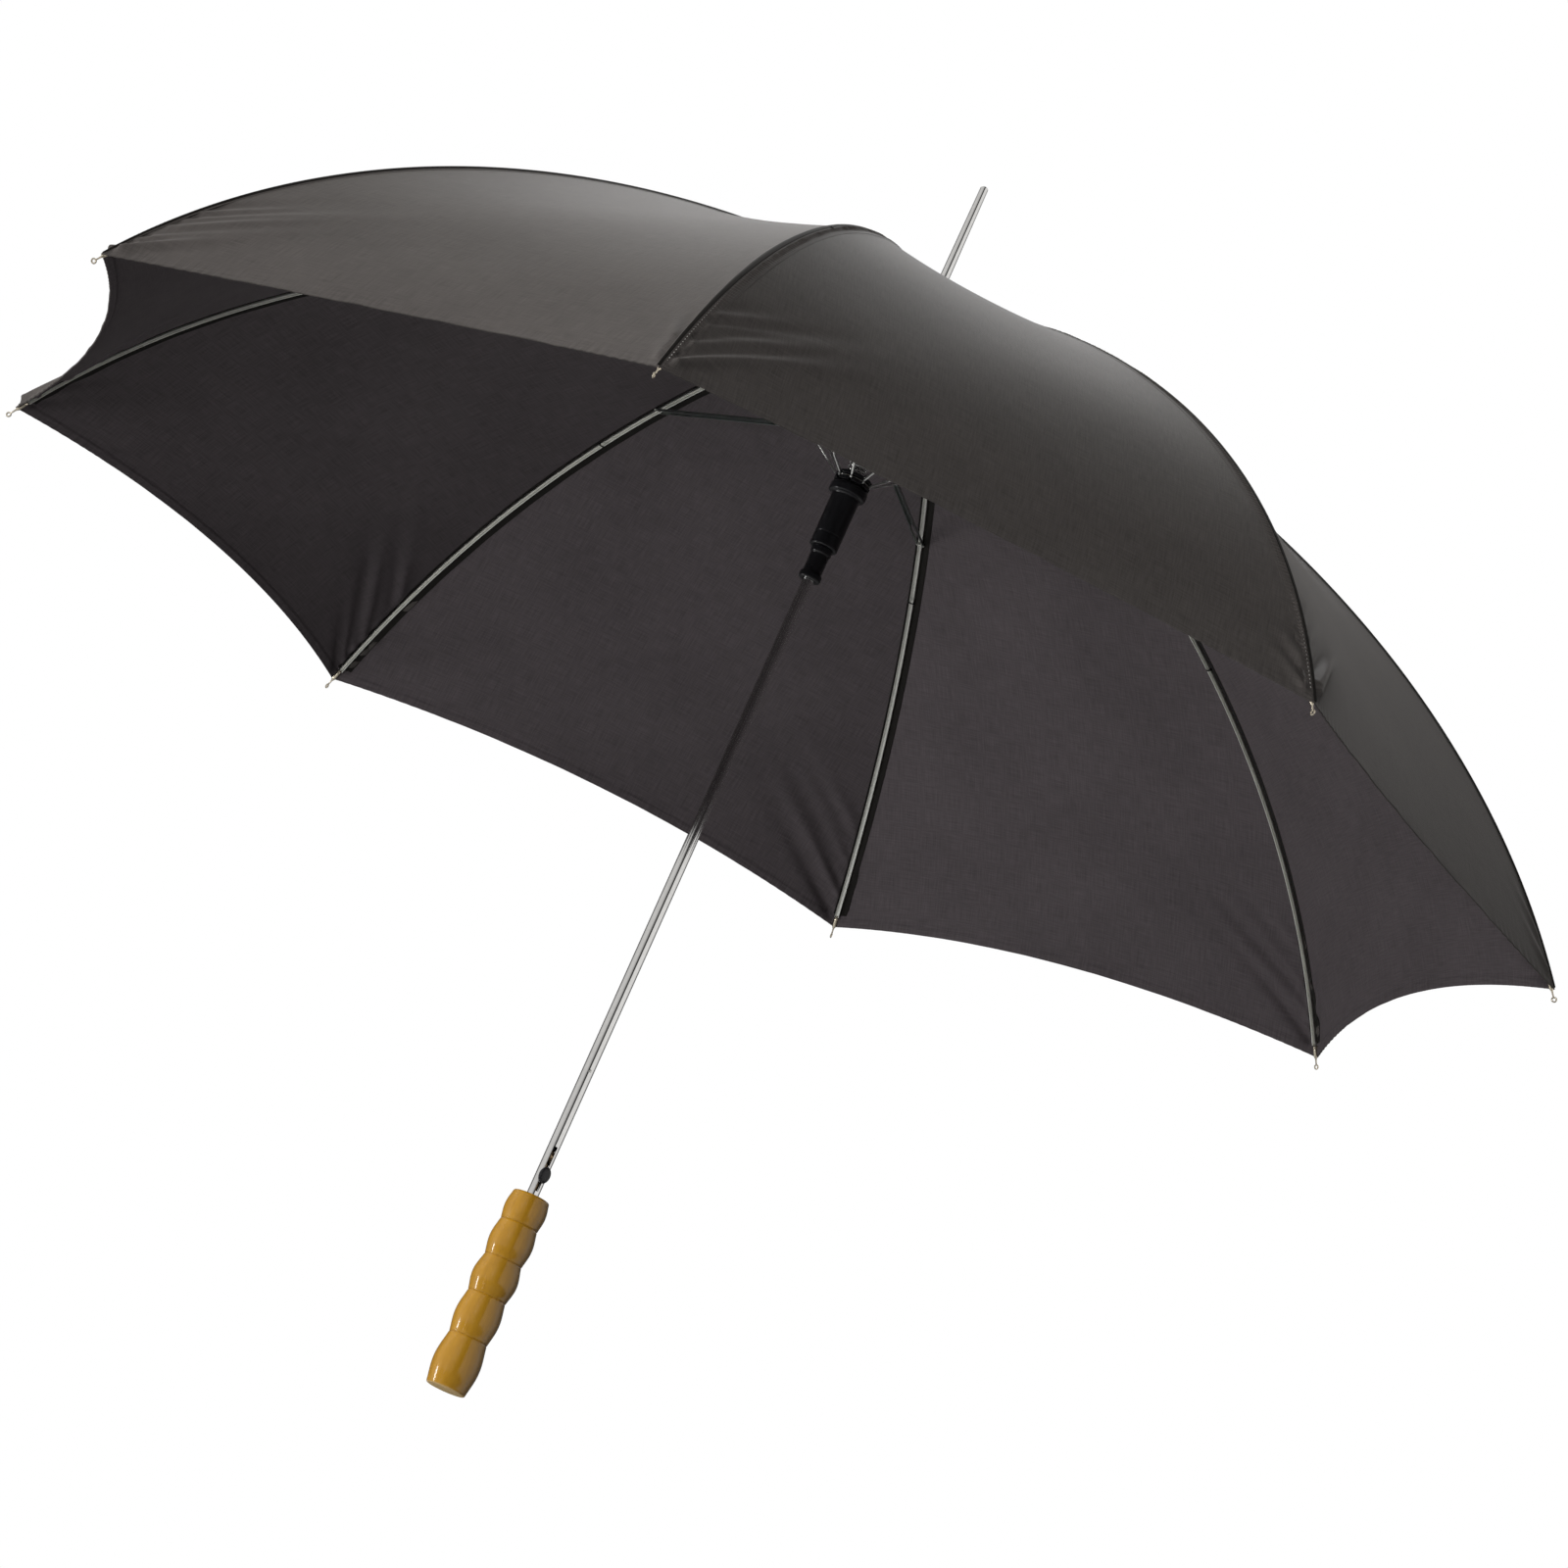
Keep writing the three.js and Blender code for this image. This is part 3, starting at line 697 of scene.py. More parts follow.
def make_link(k, material):
    """Short bright bar: thin where it enters the crown, thicker outside it."""
    along = (LINK_END - LOWER_PIVOT) / np.linalg.norm(LINK_END - LOWER_PIVOT)
    length = float(np.linalg.norm(LINK_END - LOWER_PIVOT))
    line = [LOWER_PIVOT + along * u for u in np.linspace(0.0125, length, 12)]
    widths = np.ones(12)
    widths[0] = 0.6
    section = [(1.0 * MM * math.cos(a), 0.68 * MM * math.sin(a))
               for a in np.linspace(0, 2 * math.pi, 16, endpoint=False)]
    bar = (swept(section, line, widths), ring_faces(12, 16))
    tongue = plate_part(eye_outline(LOWER_PIVOT, LINK_END, 0.0135, half=0.65 * MM), 0.5 * MM)
    turned = [(turned_to(points, rib_azimuth(k)), faces) for points, faces in (bar, tongue)]
    piece = joined(f"link_steel_{k}", turned, material, f"link_body_{k}")
    mark_sharp(piece, 50)
    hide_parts(f"link_{k}")


def make_thread_ties(k, material):
    """Loops of thread that tie the canopy to the rib, as on the real frame."""
    for number, share in enumerate((0.530, 0.28), 1):
        middle = rib_point(curve_share(share))
        along = rib_tangent(curve_share(share))
        outward = np.array((-along[1], along[0]))
        parts = []
        for shift in (-0.5, 0.05, 0.55):
            path = []
            for a in turns(24):
                corner = abs(math.cos(a)) ** 0.7 * math.copysign(1, math.cos(a))
                rise = abs(math.sin(a)) ** 0.7 * math.copysign(1, math.sin(a))
                lean = shift * MM * (1 + 0.4 * math.sin(a))
                p = middle + along * lean + outward * (0.15 + 1.85 * rise) * MM
                path.append((p[0], 2.0 * MM * corner, p[1]))
            parts.append((turned_to(tube_points(path, 0.27 * MM, 6, closed=True), rib_azimuth(k)),
                          ring_faces(24, 6, closed_rows=True)))
        joined(f"thread_tie_{k}_{number}", parts, material, f"rib_body_{k}")


# ---------------------------------------------------------------- canopy
def ridge_line(t):
    """Cloth's path over a rib, lifted near the centre to pass over the notch."""
    p = rib_point(t)
    along = rib_tangent(t)
    lift = RIB_DEPTH / 2 + 0.35 * MM + 3.6 * MM * np.exp(-((p[..., 0] / 0.060) ** 2))
    return np.stack([p[..., 0] - along[..., 1] * lift, p[..., 1] + along[..., 0] * lift], -1)


def panel_base(share, across):
    """Smooth panel surface, its middle on +X; across runs from -1 to 1 between its two ribs."""
    edge = ridge_line(curve_share(share))
    hang = 1 - across ** 2
    x = edge[..., 0] * math.cos(HALF_PANEL) - (HEM_INSET * share ** 3
                                               + 0.4 * PANEL_SAG * np.sin(math.pi * share)) * hang
    z = edge[..., 1] + (HEM_RISE * share ** 3 - PANEL_SAG * np.sin(math.pi * share)) * hang
    y = edge[..., 0] * math.sin(HALF_PANEL) * across
    return np.stack([x, y, z], -1)


def panel_normal(share, across):
    step = 1e-3
    low_share, high_share = np.maximum(share - step, 0), np.minimum(share + step, 1)
    low, high = np.maximum(across - step, -1), np.minimum(across + step, 1)
    along = panel_base(high_share, across) - panel_base(low_share, across)
    sideways = panel_base(share, high) - panel_base(share, low)
    normal = np.cross(along, sideways)
    normal /= np.linalg.norm(normal, axis=-1)[..., None] + 1e-12
    return normal


def tension_folds(seed, beside, back, strong):
    """Height of the folds that fan out from a rib tip, beside metres from the seam and back from the tip."""
    random = np.random.default_rng(seed)
    height = np.zeros_like(beside)
    for number in range(6 if strong else 3):
        lean = math.radians(random.uniform(46, 54) if strong else random.uniform(20, 44))
        start = (3 + 11.5 * number + random.uniform(-2, 2)) * MM
        reach = random.uniform(36, 74) * MM if strong else random.uniform(16, 32) * MM
        width = random.uniform(3.8, 5.2) * MM if strong else random.uniform(2.8, 3.8) * MM
        depth = random.uniform(3.4, 4.8) * MM if strong else random.uniform(1.8, 2.6) * MM
        depth *= math.exp(-number / 5)
        cross = (back - start) * math.sin(lean) - beside * math.cos(lean)
        travel = (back - start) * math.cos(lean) + beside * math.sin(lean)
        envelope = np.clip(travel / (7 * MM), 0, 1) ** 2 * np.exp(-(travel / reach) ** 2)
        width = width * (1 + 0.5 * np.clip(travel / reach, 0, 2))
        height += depth * envelope * (np.exp(-(cross / width) ** 2)
                                      - 0.8 * np.exp(-((cross - 1.5 * width) / width) ** 2))
    clear = np.clip((beside - 1.9 * MM) / (3.5 * MM), 0, 1)
    return height * np.clip(back / (4 * MM), 0.25, 1) * clear ** 2 * (3 - 2 * clear)


def half_panel_grid(side, fine):
    """Shares along and across for one half, closest together beside the seam and near the hem.

    Side 1 is beside the panel's own rib, side -1 beside the next."""
    upper = np.linspace(0.004, 0.84, int(90 * fine), endpoint=False)
    lower = np.linspace(0.84, 1, int(100 * fine))
    near = np.linspace(0, 0.38, int(42 * fine), endpoint=False)
    far = np.linspace(0.38, 1, int(18 * fine))
    across = side * (1 - np.concatenate([near, far]))
    return np.meshgrid(np.concatenate([upper, lower]), across, indexing="ij")


def slack_waves(panel, share, across):
    """Slight unevenness of the cloth over the whole panel."""
    free = (1 - across ** 2) * np.sin(math.pi * np.clip(share, 0, 1)) ** 0.5
    along = share * RIB_LENGTH
    beside = across * share * 0.19
    wave = np.sin(along / 0.031 + panel + 2 * beside / 0.19) * np.cos(beside / 0.05 + 0.7 * panel)
    return 0.45 * MM * free * (wave + 0.6 * np.sin(along / 0.058 - beside / 0.04 + 2.1 * panel))


def sheet_faces(rows, columns):
    """Quads of a two-layer grid closed round its rim, and which of them are the inner layer."""
    count = rows * columns
    outer = [(i * columns + j, (i + 1) * columns + j, (i + 1) * columns + j + 1, i * columns + j + 1)
             for i in range(rows - 1) for j in range(columns - 1)]
    inner = [tuple(q + count for q in reversed(face)) for face in outer]
    rim = [i * columns for i in range(rows)]
    rim += [(rows - 1) * columns + j for j in range(1, columns)]
    rim += [i * columns + columns - 1 for i in range(rows - 2, -1, -1)]
    rim += list(range(columns - 2, 0, -1))
    edge = [(a, a + count, b + count, b) for a, b in zip(rim, rim[1:] + rim[:1])]
    return outer, inner, edge


def cloth_mesh(name, outer_points, inner_points, flat, rows, columns, azimuth, materials, flip=False):
    """A thin closed cloth from two grids of points; flat holds its UV in metres."""
    outer, inner, edge = sheet_faces(rows, columns)
    faces = outer + inner + edge
    if flip:
        faces = [face[::-1] for face in faces]
    points = np.concatenate([outer_points.reshape(-1, 3), inner_points.reshape(-1, 3)])
    mesh = bpy.data.meshes.new(name)
    mesh.from_pydata(turned_to(points, azimuth).tolist(), [], faces)
    for material in materials:
        mesh.materials.append(material)
    index = np.zeros(len(faces), np.int32)
    index[len(outer):len(outer) + len(inner)] = len(materials) - 1
    mesh.polygons.foreach_set("material_index", index)
    mesh.shade_smooth()
    layer = mesh.uv_layers.new(name="UVMap")
    both = np.concatenate([flat.reshape(-1, 2)] * 2)
    loops = np.empty(len(mesh.loops), np.int32)
    mesh.loops.foreach_get("vertex_index", loops)
    layer.data.foreach_set("uv", both[loops].astype(np.float32).ravel())
    piece = bpy.data.objects.new(name, mesh)
    bpy.context.scene.collection.objects.link(piece)
    return mark_sharp(piece, 60)


def seam_folds(k, share, y):
    """Height of the folds beside rib k's seam, y metres from it; y > 0 is on the last panel."""
    back = (1 - share) * RIB_LENGTH
    strong = tension_folds(100 + 2 * k, np.abs(y), back, strong=True)
    weak = tension_folds(101 + 2 * k, np.abs(y), back, strong=False)
    return np.where(y > 0, strong, weak)


def make_half_panel(panel, side, outside, inside):
    """Side 1 is beside the panel's own rib, side -1 beside the next."""
    rib = panel if side > 0 else panel % RIBS + 1
    share, across = half_panel_grid(side, 1.0)
    base = panel_base(share, across)
    normal = panel_normal(share, across)
    edge_y = ridge_line(curve_share(share))[..., 0] * math.sin(HALF_PANEL)
    beside = (1 - np.abs(across)) * edge_y
    back = (1 - share) * RIB_LENGTH
    height = seam_folds(rib, share, -side * beside)
    height += slack_waves(panel, share, across)
    hem_ripple = 0.25 * MM * np.sin(beside / 0.0011 + 3 * np.sin(beside / 0.013))
    height += hem_ripple * np.exp(-back / 0.004) * np.clip(beside / 0.01, 0, 1)
    hem_thick = np.where(back < HEM_WIDTH, 0.5 * MM, 0.0)
    outer = base + normal * (height + CLOTH / 2)[..., None]
    inner = base + normal * (height - CLOTH / 2 - hem_thick)[..., None]
    flat = np.stack([across * edge_y, share * RIB_LENGTH], -1)
    cuts = [int(np.argmin(np.abs(share[:, 0] - band / BANDS))) for band in range(BANDS + 1)]
    for band, (first, last) in enumerate(zip(cuts, cuts[1:]), 1):
        rows = slice(first, last + 1)
        name = f"canopy_{panel}_{'a' if side > 0 else 'b'}{band}"
        piece = cloth_mesh(name, outer[rows], inner[rows], flat[rows], last - first + 1, share.shape[1],
                           rib_azimuth(panel) - HALF_PANEL, (outside, inside), flip=side > 0)
        low, high = share[first, 0], share[last, 0]
        fold_band(piece, rib, panel, (low + high) / 2)
        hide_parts(f"canopy_panel_{panel}")


def fold_band(piece, rib, panel, share):
    """As the umbrella shuts, a band turns with its rib, on whose body it rides; the fold axis worked out
    here is not applied.
    """
    azimuth = rib_azimuth(rib)
    place, ahead = ridge_line(curve_share(np.array([share, share + 0.01])))
    slope = (ahead - place) / np.linalg.norm(ahead - place)
    outward = np.array([math.cos(azimuth), math.sin(azimuth), 0.0])
    up = np.array([0.0, 0.0, 1.0])
    along = outward * slope[0] + up * slope[1]
    middle = rib_azimuth(panel) - HALF_PANEL
    chord = np.array([-math.sin(middle), math.cos(middle), 0.0])
    if panel == rib:
        chord = -chord
    axis = chord - along * (chord @ along)
    axis /= np.linalg.norm(axis)
    axis -= FOLD_LIFT * (up * slope[0] - outward * slope[1])
    axis /= np.linalg.norm(axis)
    points = np.empty(3 * len(piece.data.vertices))
    piece.data.vertices.foreach_get("co", points)
    points = points.reshape(-1, 3)
    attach(piece, f"rib_body_{rib}")
    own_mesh(piece)


def fold_with_rib(piece, rib):
    """A seam turns with its rib as the umbrella shuts, riding on the rib's body."""
    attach(piece, f"rib_body_{rib}")
    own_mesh(piece)


def make_canopy(outside, inside):
    for panel in range(1, RIBS + 1):
        for side in (1, -1):
            make_half_panel(panel, side, outside, inside)


def seam_profile(y, along, seed):
    """Height in mm over the cloth at y metres across the seam: welt, stitched groove, then puckers."""
    random = np.random.default_rng(seed)
    share = along / RIB_LENGTH
    wander = np.interp(share, np.linspace(0, 1, 60), random.uniform(-1.6, 1.6, 60))
    force = np.interp(share, np.linspace(0, 1, 40), random.uniform(0.4, 1.0, 40))
    mm = y / MM
    welt = 0.9 * np.exp(-((mm + 2.6) / 1.9) ** 2)
    groove = -0.5 * np.exp(-((mm - 0.4) / 0.45) ** 2)
    ripple = np.sin(2 * math.pi * along / PUCKER_PITCH + wander)
    ripple *= 0.8 * force * np.exp(-(np.maximum(mm - 1.8, 0) / 2.2) ** 2)
    ripple /= 1 + np.exp((0.8 - mm) / 0.15)
    return welt + groove + ripple


def seam_grid(share, y, height):
    """Points over the cloth, y metres beside a rib that lies on +X; y > 0 is on the last panel."""
    reach = ridge_line(curve_share(share))[..., 0] * math.sin(HALF_PANEL)
    y = y * np.minimum(1.0, reach / 0.012)
    side = np.where(y >= 0, -1.0, 1.0)
    across = side * (1 - np.abs(y) / reach)
    points = panel_base(share, across) + panel_normal(share, across) * height[..., None]
    turn = -side * HALF_PANEL
    c, s = np.cos(turn), np.sin(turn)
    return np.stack([points[..., 0] * c - points[..., 1] * s, points[..., 0] * s + points[..., 1] * c,
                     points[..., 2]], -1)


def make_seam(k, material, welt):
    """Felled seam over a rib, laid on the two panels that meet there; it puckers one of them. Its welt is
    painted near-black as shade beside the rib.
    """
    rows = 900
    left, right = 6.6 * MM, 7.0 * MM
    beside = np.concatenate([np.linspace(-left, -0.6 * MM, 10), np.linspace(-0.4 * MM, 1.2 * MM, 8),
                             np.linspace(1.7 * MM, right, 9)])
    share, y = np.meshgrid(np.linspace(0.03, 0.9985, rows), beside, indexing="ij")
    fade = np.clip(np.minimum((y + left) / (0.8 * MM), (right - y) / (2.0 * MM)), 0, 1)
    height = (0.12 + (0.14 + seam_profile(y, share * RIB_LENGTH, 500 + k)) * fade) * MM + CLOTH / 2
    narrow = 0.35 + 0.65 * np.clip((1 - share) * RIB_LENGTH / WELT_TAPER, 0, 1)
    y = np.where(y < 0, y * narrow, y)
    height += seam_folds(k, share, y)
    flip = 1 if k % 2 else -1
    grids = [seam_grid(share, flip * y, level) for level in (height, height - 0.12 * MM)]
    flat = np.stack([y, share * RIB_LENGTH], -1)
    piece = cloth_mesh(f"seam_{k}", *grids, flat, rows, len(beside), rib_azimuth(k),
                       (material, material, welt), flip=flip < 0)
    # the welt and its groove take the near-black cloth: painted shade along the seam
    shaded_welt_faces = np.tile((beside[:-1] > -5.8 * MM) & (beside[1:] < 0.8 * MM), rows - 1)
    index = np.zeros(len(piece.data.polygons), np.int32)
    index[:len(shaded_welt_faces)] = 2 * shaded_welt_faces
    piece.data.polygons.foreach_set("material_index", index)
    fold_with_rib(piece, k)


def make_allowances(k, material):
    """The seam's cut edges, turned back on the inside either side of the rib; their near-black cloth is
    painted shadow of the rib.
    """
    rows = 120
    for name, start, end in (("near", 1.9, 3.8), ("far", -1.9, -7.4)):
        across = np.linspace(start, end, 6) * MM
        share, y = np.meshgrid(np.linspace(0.05, 0.985, rows), across, indexing="ij")
        wave = 0.12 * MM * np.sin(share * 90 + k) * np.abs(y) / (6 * MM)
        height = wave + seam_folds(k, share, y)
        grids = [seam_grid(share, y, height - level * MM) for level in (0.32, 0.56)]
        flat = np.stack([y, share * RIB_LENGTH], -1)
        piece = cloth_mesh(f"allowance_{k}_{name}", *grids, flat, rows, 6, rib_azimuth(k), (material,),
                           flip=end < 0)
        fold_with_rib(piece, k)


def make_cap(cloth, shiny):
    """Gathered rosette and washer where the ferrule leaves the canopy."""
    segments = 96
    profile = [(3.3, 738.8), (9.5, 738.3), (13.2, 737.0), (13.6, 737.3),
               (12.8, 738.4), (9, 739.9), (6, 740.6), (3.3, 741.0)]
    points = []
    for radius, z in profile:
        for a in turns(segments):
            wave = 1 + 0.03 * math.sin(16 * a) * (radius / 13)
            points.append((radius * wave * MM * math.cos(a), radius * wave * MM * math.sin(a),
                           (z + 0.25 * math.sin(16 * a) * (radius / 13)) * MM))
    rosette = mesh_piece("cap_rosette", points, ring_faces(len(profile), segments, True), cloth, "root")
    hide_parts("canopy_cap")
    washer = rounded([(3.2, 741.1), (6.0, 741.1), (6.0, 741.8), (4.2, 742.6), (3.2, 742.6)], 0.2)
    lathe_ring("cap_washer", scaled(washer), shiny, "root")


# ---------------------------------------------------------------- shaft, runners, handle
def make_shaft(material):
    """Chromed tube with its slot cut through the front wall."""
    segments = 72
    bottom, top = 66.0, 733.0
    slot_low, slot_high, half_slot = 128.5, 157.5, 1.4
    inner = 3.1
    heights = sorted({bottom, 100, slot_low, slot_low + 1.0, 132, 136, 140, 144, 148, 152, slot_high - 1.0,
                      slot_high, 200, 300, 400, 500, 600, 700, top})
    angles = [a + SLOT_AZIMUTH for a in turns(segments)]
    parts = []
    for radius in (SHAFT_RADIUS / MM, inner):
        points = [(radius * MM * math.cos(a), radius * MM * math.sin(a), z * MM)
                  for z in heights for a in angles]
        faces = []
        for i in range(len(heights) - 1):
            in_slot = slot_low <= heights[i] and heights[i + 1] <= slot_high
            for j in range(segments):
                middle = (j + 0.5) * 2 * math.pi / segments
                aside = abs(math.sin(middle)) * SHAFT_RADIUS / MM
                if in_slot and math.cos(middle) > 0 and aside < half_slot:
                    continue
                quad = (i * segments + j, i * segments + (j + 1) % segments,
                        (i + 1) * segments + (j + 1) % segments, (i + 1) * segments + j)
                faces.append(quad if radius > inner else quad[::-1])
        parts.append((points, faces))
    shift = len(parts[0][0])
    points = parts[0][0] + parts[1][0]
    faces = parts[0][1] + [tuple(i + shift for i in f) for f in parts[1][1]]
    border = {}
    for face in parts[0][1]:
        for a, b in zip(face, face[1:] + face[:1]):
            border[(a, b)] = border.get((a, b), 0) + 1
    for (a, b) in list(border):
        if (b, a) not in border:
            faces.append((b, a, a + shift, b + shift))
    piece = mesh_piece("shaft_tube", points, faces, material, "root")
    mark_sharp(piece, 30)
    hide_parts("shaft")


def handle_radius(z):
    """Radius of the turned handle at a height in mm: bulges between narrow grooves."""
    number = sum(z > start + height for start, height, _, _ in HANDLE_BULGES[:-1])
    start, height, radius, groove = HANDLE_BULGES[number]
    following = HANDLE_BULGES[number + 1][3] if number + 1 < len(HANDLE_BULGES) else HANDLE_TOP_RADIUS
    share = min(max((z - start) / height, 0), 1)
    base = groove + (following - groove) * share
    wave = math.sin(math.pi * share) ** 1.3
    return base + (radius - (groove + following) / 2) * wave


def make_handle(varnished, bare):
    grooves = [start for start, *_ in HANDLE_BULGES[1:]]
    rim = HANDLE_ROUNDING
    profile = [(0.0, 0.0), (handle_radius(1.0) - rim, 0.0)]
    for angle in (30, 60, 90):
        a = math.radians(angle)
        profile.append((handle_radius(1.0) - rim + rim * math.sin(a), rim - rim * math.cos(a)))
    z = 1.6
    while z < 124.0:
        cut = sum(0.42 * math.exp(-((z - g) / 0.32) ** 2) for g in grooves)
        profile.append((handle_radius(z) - cut, z))
        near = min(abs(z - g) for g in grooves)
        z += 0.16 if near < 1.0 else 0.9
    profile += [(handle_radius(124.2), 124.3), (handle_radius(124.2) - 0.5, 124.85),
                (handle_radius(124.2) - 1.3, HANDLE_TOP), (HANDLE_BORE[0], HANDLE_TOP), HANDLE_BORE,
                (0.0, HANDLE_BORE[1])]
    piece = lathe_to_axis("handle_wood", scaled(profile), varnished, "root", 96)
    piece.data.materials.append(bare)
    for polygon in piece.data.polygons:
        if polygon.center.z < 0.6 * MM:
            polygon.material_index = 1
    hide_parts("handle")


def lathe_to_axis(name, profile, material, body, segments=64):
    """A body of revolution whose profile starts and ends on the axis."""
    inner = profile[1:-1]
    points = revolved(inner, segments)
    faces = ring_faces(len(inner), segments, cap=False)
    first, last = len(points), len(points) + 1
    points += [(0, 0, profile[0][1]), (0, 0, profile[-1][1])]
    for j in range(segments):
        k = (j + 1) % segments
        faces.append((first, k, j))
        faces.append((last, (len(inner) - 1) * segments + j, (len(inner) - 1) * segments + k))
    return mark_sharp(mesh_piece(name, points, faces, material, body))


def make_ferrule(material):
    profile = [(0, 733.6), (2.9, 733.6), (3.05, 741), (3.05, 760), (2.9, 775),
               (2.55, 819.8), (2.45, 820.5), (2.1, 820.9), (0, 821)]
    piece = lathe_to_axis("ferrule_tip", scaled(profile), material, "root", 48)
    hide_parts("ferrule")


def crown_teeth(root, outer, low, high, slot_half):
    """Ring of teeth from radius root out to outer, with slots between them on the ribs' lines."""
    parts = []
    for k in range(1, RIBS + 1):
        middle = rib_azimuth(k) + HALF_PANEL
        steps = 9
        ring = []
        for radius in (root, outer):
            half = HALF_PANEL - math.asin(slot_half / radius)
            ring.append([(radius, middle + half * (2 * i / (steps - 1) - 1)) for i in range(steps)])
        outline = ring[0] + ring[1][::-1]
        count = len(outline)
        points = [(r * math.cos(a), r * math.sin(a), z) for z in (low, high) for r, a in outline]
        faces = [tuple(range(count - 1, -1, -1)), tuple(range(count, 2 * count))]
        for i in range(count):
            j = (i + 1) % count
            faces.append((i, j, j + count, i + count))
        parts.append((points, faces))
    return parts


def make_crown(name, centre, low, high, outer, material, body, node, hub):
    """Toothed crown with a groove for its ring wire, and the hub that it stands on."""
    groove = 0.85 * MM
    parts = []
    for bottom, top, radius in ((low, centre - groove, outer), (centre - groove, centre + groove, 9.2 * MM),
                                (centre + groove, high, outer)):
        parts += crown_teeth(7.8 * MM, radius, bottom, top, 0.9 * MM)
    segments = 64
    profile = rounded(hub, 0.35 * MM)
    parts.append((revolved(profile, segments), ring_faces(len(profile), segments, True)))
    piece = joined(name, parts, material, body)
    mark_sharp(piece, 30)
    bevelled(piece, 0.16 * MM)
    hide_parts(node)


def make_runners(material):
    make_crown("notch_crown", 0.731, 0.7255, 0.7344, 0.0122, material, "root", "top_notch",
               scaled([(4.2, 714), (7, 714), (7, 724), (7.9, 725.2), (7.9, 735.0),
                       (5, 735.5), (4.2, 735.5)]))
    z = UPPER_RUNNER_Z / MM
    make_crown("upper_runner_crown", UPPER_RUNNER_Z, (z - 3.4) * MM, (z + 3.6) * MM, 0.0118, material,
               "upper_runner_body", "upper_runner",
               scaled([(4.2, z - 5), (7, z - 5), (7.9, z - 3.4), (7.9, z + 3.6), (7, z + 5), (7, z + 16),
                       (4.2, z + 16)]))
    make_crown("lower_runner_crown", LOWER_RUNNER_Z, 0.6074, 0.6132, 0.0116, material,
               "lower_runner_body", "lower_runner",
               scaled([(4.2, 563.3), (8.5, 563.3), (9, 564.1), (9, 571), (8.85, 571.3), (8.85, 572.2),
                       (9, 572.5), (9, 598.6), (9.6, 599.6), (11.6, 600.0), (12, 601), (12, 604.6),
                       (11.6, 605.6), (9.2, 606), (9.2, 607.2), (7.9, 607.4), (7.9, 613.6), (4.2, 614.0)]))
    sleeve = rounded(scaled([(4.2, 541.4), (6.7, 541.4), (7.1, 542.1), (7.1, 545.2), (6.2, 546.6),
                             (6.0, 548), (6.0, 558.4), (6.7, 559.4), (6.7, 563.1), (4.2, 563.1)]), 0.35 * MM)
    piece = lathe_ring("runner_neck", sleeve, material, "lower_runner_body")
    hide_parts("runner_sleeve")


def make_ring_wires(material):
    for name, node, z, body in (("notch_ring", "notch_wire", 0.731, "root"),
                                ("upper_ring", "upper_runner_wire", UPPER_RUNNER_Z, "upper_runner_body"),
                                ("lower_ring", "lower_runner_wire", LOWER_RUNNER_Z, "lower_runner_body")):
        path = [(PIVOT_RADIUS * math.cos(a), PIVOT_RADIUS * math.sin(a), z) for a in turns(96)]
        piece = tube(name, path, 0.45 * MM, material, body, closed=True)
        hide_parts(node)


def make_spring(material):
    """Opening spring between the runners, with closed end turns."""
    turns, per_turn = 8.0, 28
    low, high = 615.2, 638.4
    path = []
    count = int(turns * per_turn)
    for i in range(count + 1):
        u = i / count
        climb = np.interp(u, [0, 0.1, 0.9, 1], [0, 0.035, 0.965, 1])
        a = 2 * math.pi * turns * u
        path.append((6.4 * MM * math.cos(a), 6.4 * MM * math.sin(a), (low + (high - low) * climb) * MM))
    piece = tube("coil_spring", path, 0.6 * MM, material, "lower_runner_body", sides=10)
    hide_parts("opening_spring")


def make_button(material):
    """Oval domed button on a stem that goes through the slot."""
    rings = [(5.5, 0.9), (5.75, 0.985), (6.2, 1.0), (6.8, 0.97), (7.2, 0.86), (7.42, 0.6), (7.5, 0.25)]
    sides = 40
    half_width, half_height = 3.6 * MM, 5.2 * MM
    points = []
    for out, size in rings:
        for a in turns(sides):
            points.append((out * MM, half_width * size * math.cos(a),
                           BUTTON_Z + half_height * size * math.sin(a)))
    cap = (points, ring_faces(len(rings), sides))
    corners = [(x * MM, y * MM, BUTTON_Z + z * MM) for x in (2.2, 5.6) for y in (-0.95, 0.95)
               for z in (-3.0, 3.0)]
    stem = (corners, [(0, 1, 3, 2), (4, 6, 7, 5), (0, 4, 5, 1), (2, 3, 7, 6), (0, 2, 6, 4), (1, 5, 7, 3)])
    turned = [(turned_to(p, SLOT_AZIMUTH), f) for p, f in (cap, stem)]
    piece = joined("push_button", turned, material, "button_body")
    mark_sharp(piece, 50)
    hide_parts("release_button")


def make_catch(material):
    """Bent leaf in the slot; on the real umbrella its tooth draws in while the runner is down on it, but
    this piece is fixed and does not bend.
    """
    outline = [(-0.6, 112), (0, 112), (0.2, 130), (0.4, 146.5), (3.2, 148.9),
               (5, 150.3), (5, 151.3), (3.2, 153.6), (1.2, 156), (0.6, 156),
               (2.2, 153.4), (3.4, 151.2), (1.8, 149.0), (-0.3, 147.2), (-0.5, 130)]
    points, faces = plate_part(scaled(outline), 0.9 * MM)
    turned = turned_to(points, SLOT_AZIMUTH)
    piece = mesh_piece("leaf_catch", turned, faces, material, "root", smooth=False)
    bevelled(piece, 0.12 * MM)
    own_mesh(piece)
    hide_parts("catch_spring")


def make_pin(material):
    sides = 24
    points = []
    rings = [(2.6, 0.9), (3.75, 0.9), (3.95, 0.75), (4.05, 0.4)]
    for out, radius in rings:
        for a in turns(sides):
            points.append((out * MM, radius * MM * math.cos(a), (207.4 + radius * math.sin(a)) * MM))
    piece = mesh_piece("stop_pin", turned_to(points, SLOT_AZIMUTH), ring_faces(len(rings), sides), material,
                       "root")
    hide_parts("shaft_pin")


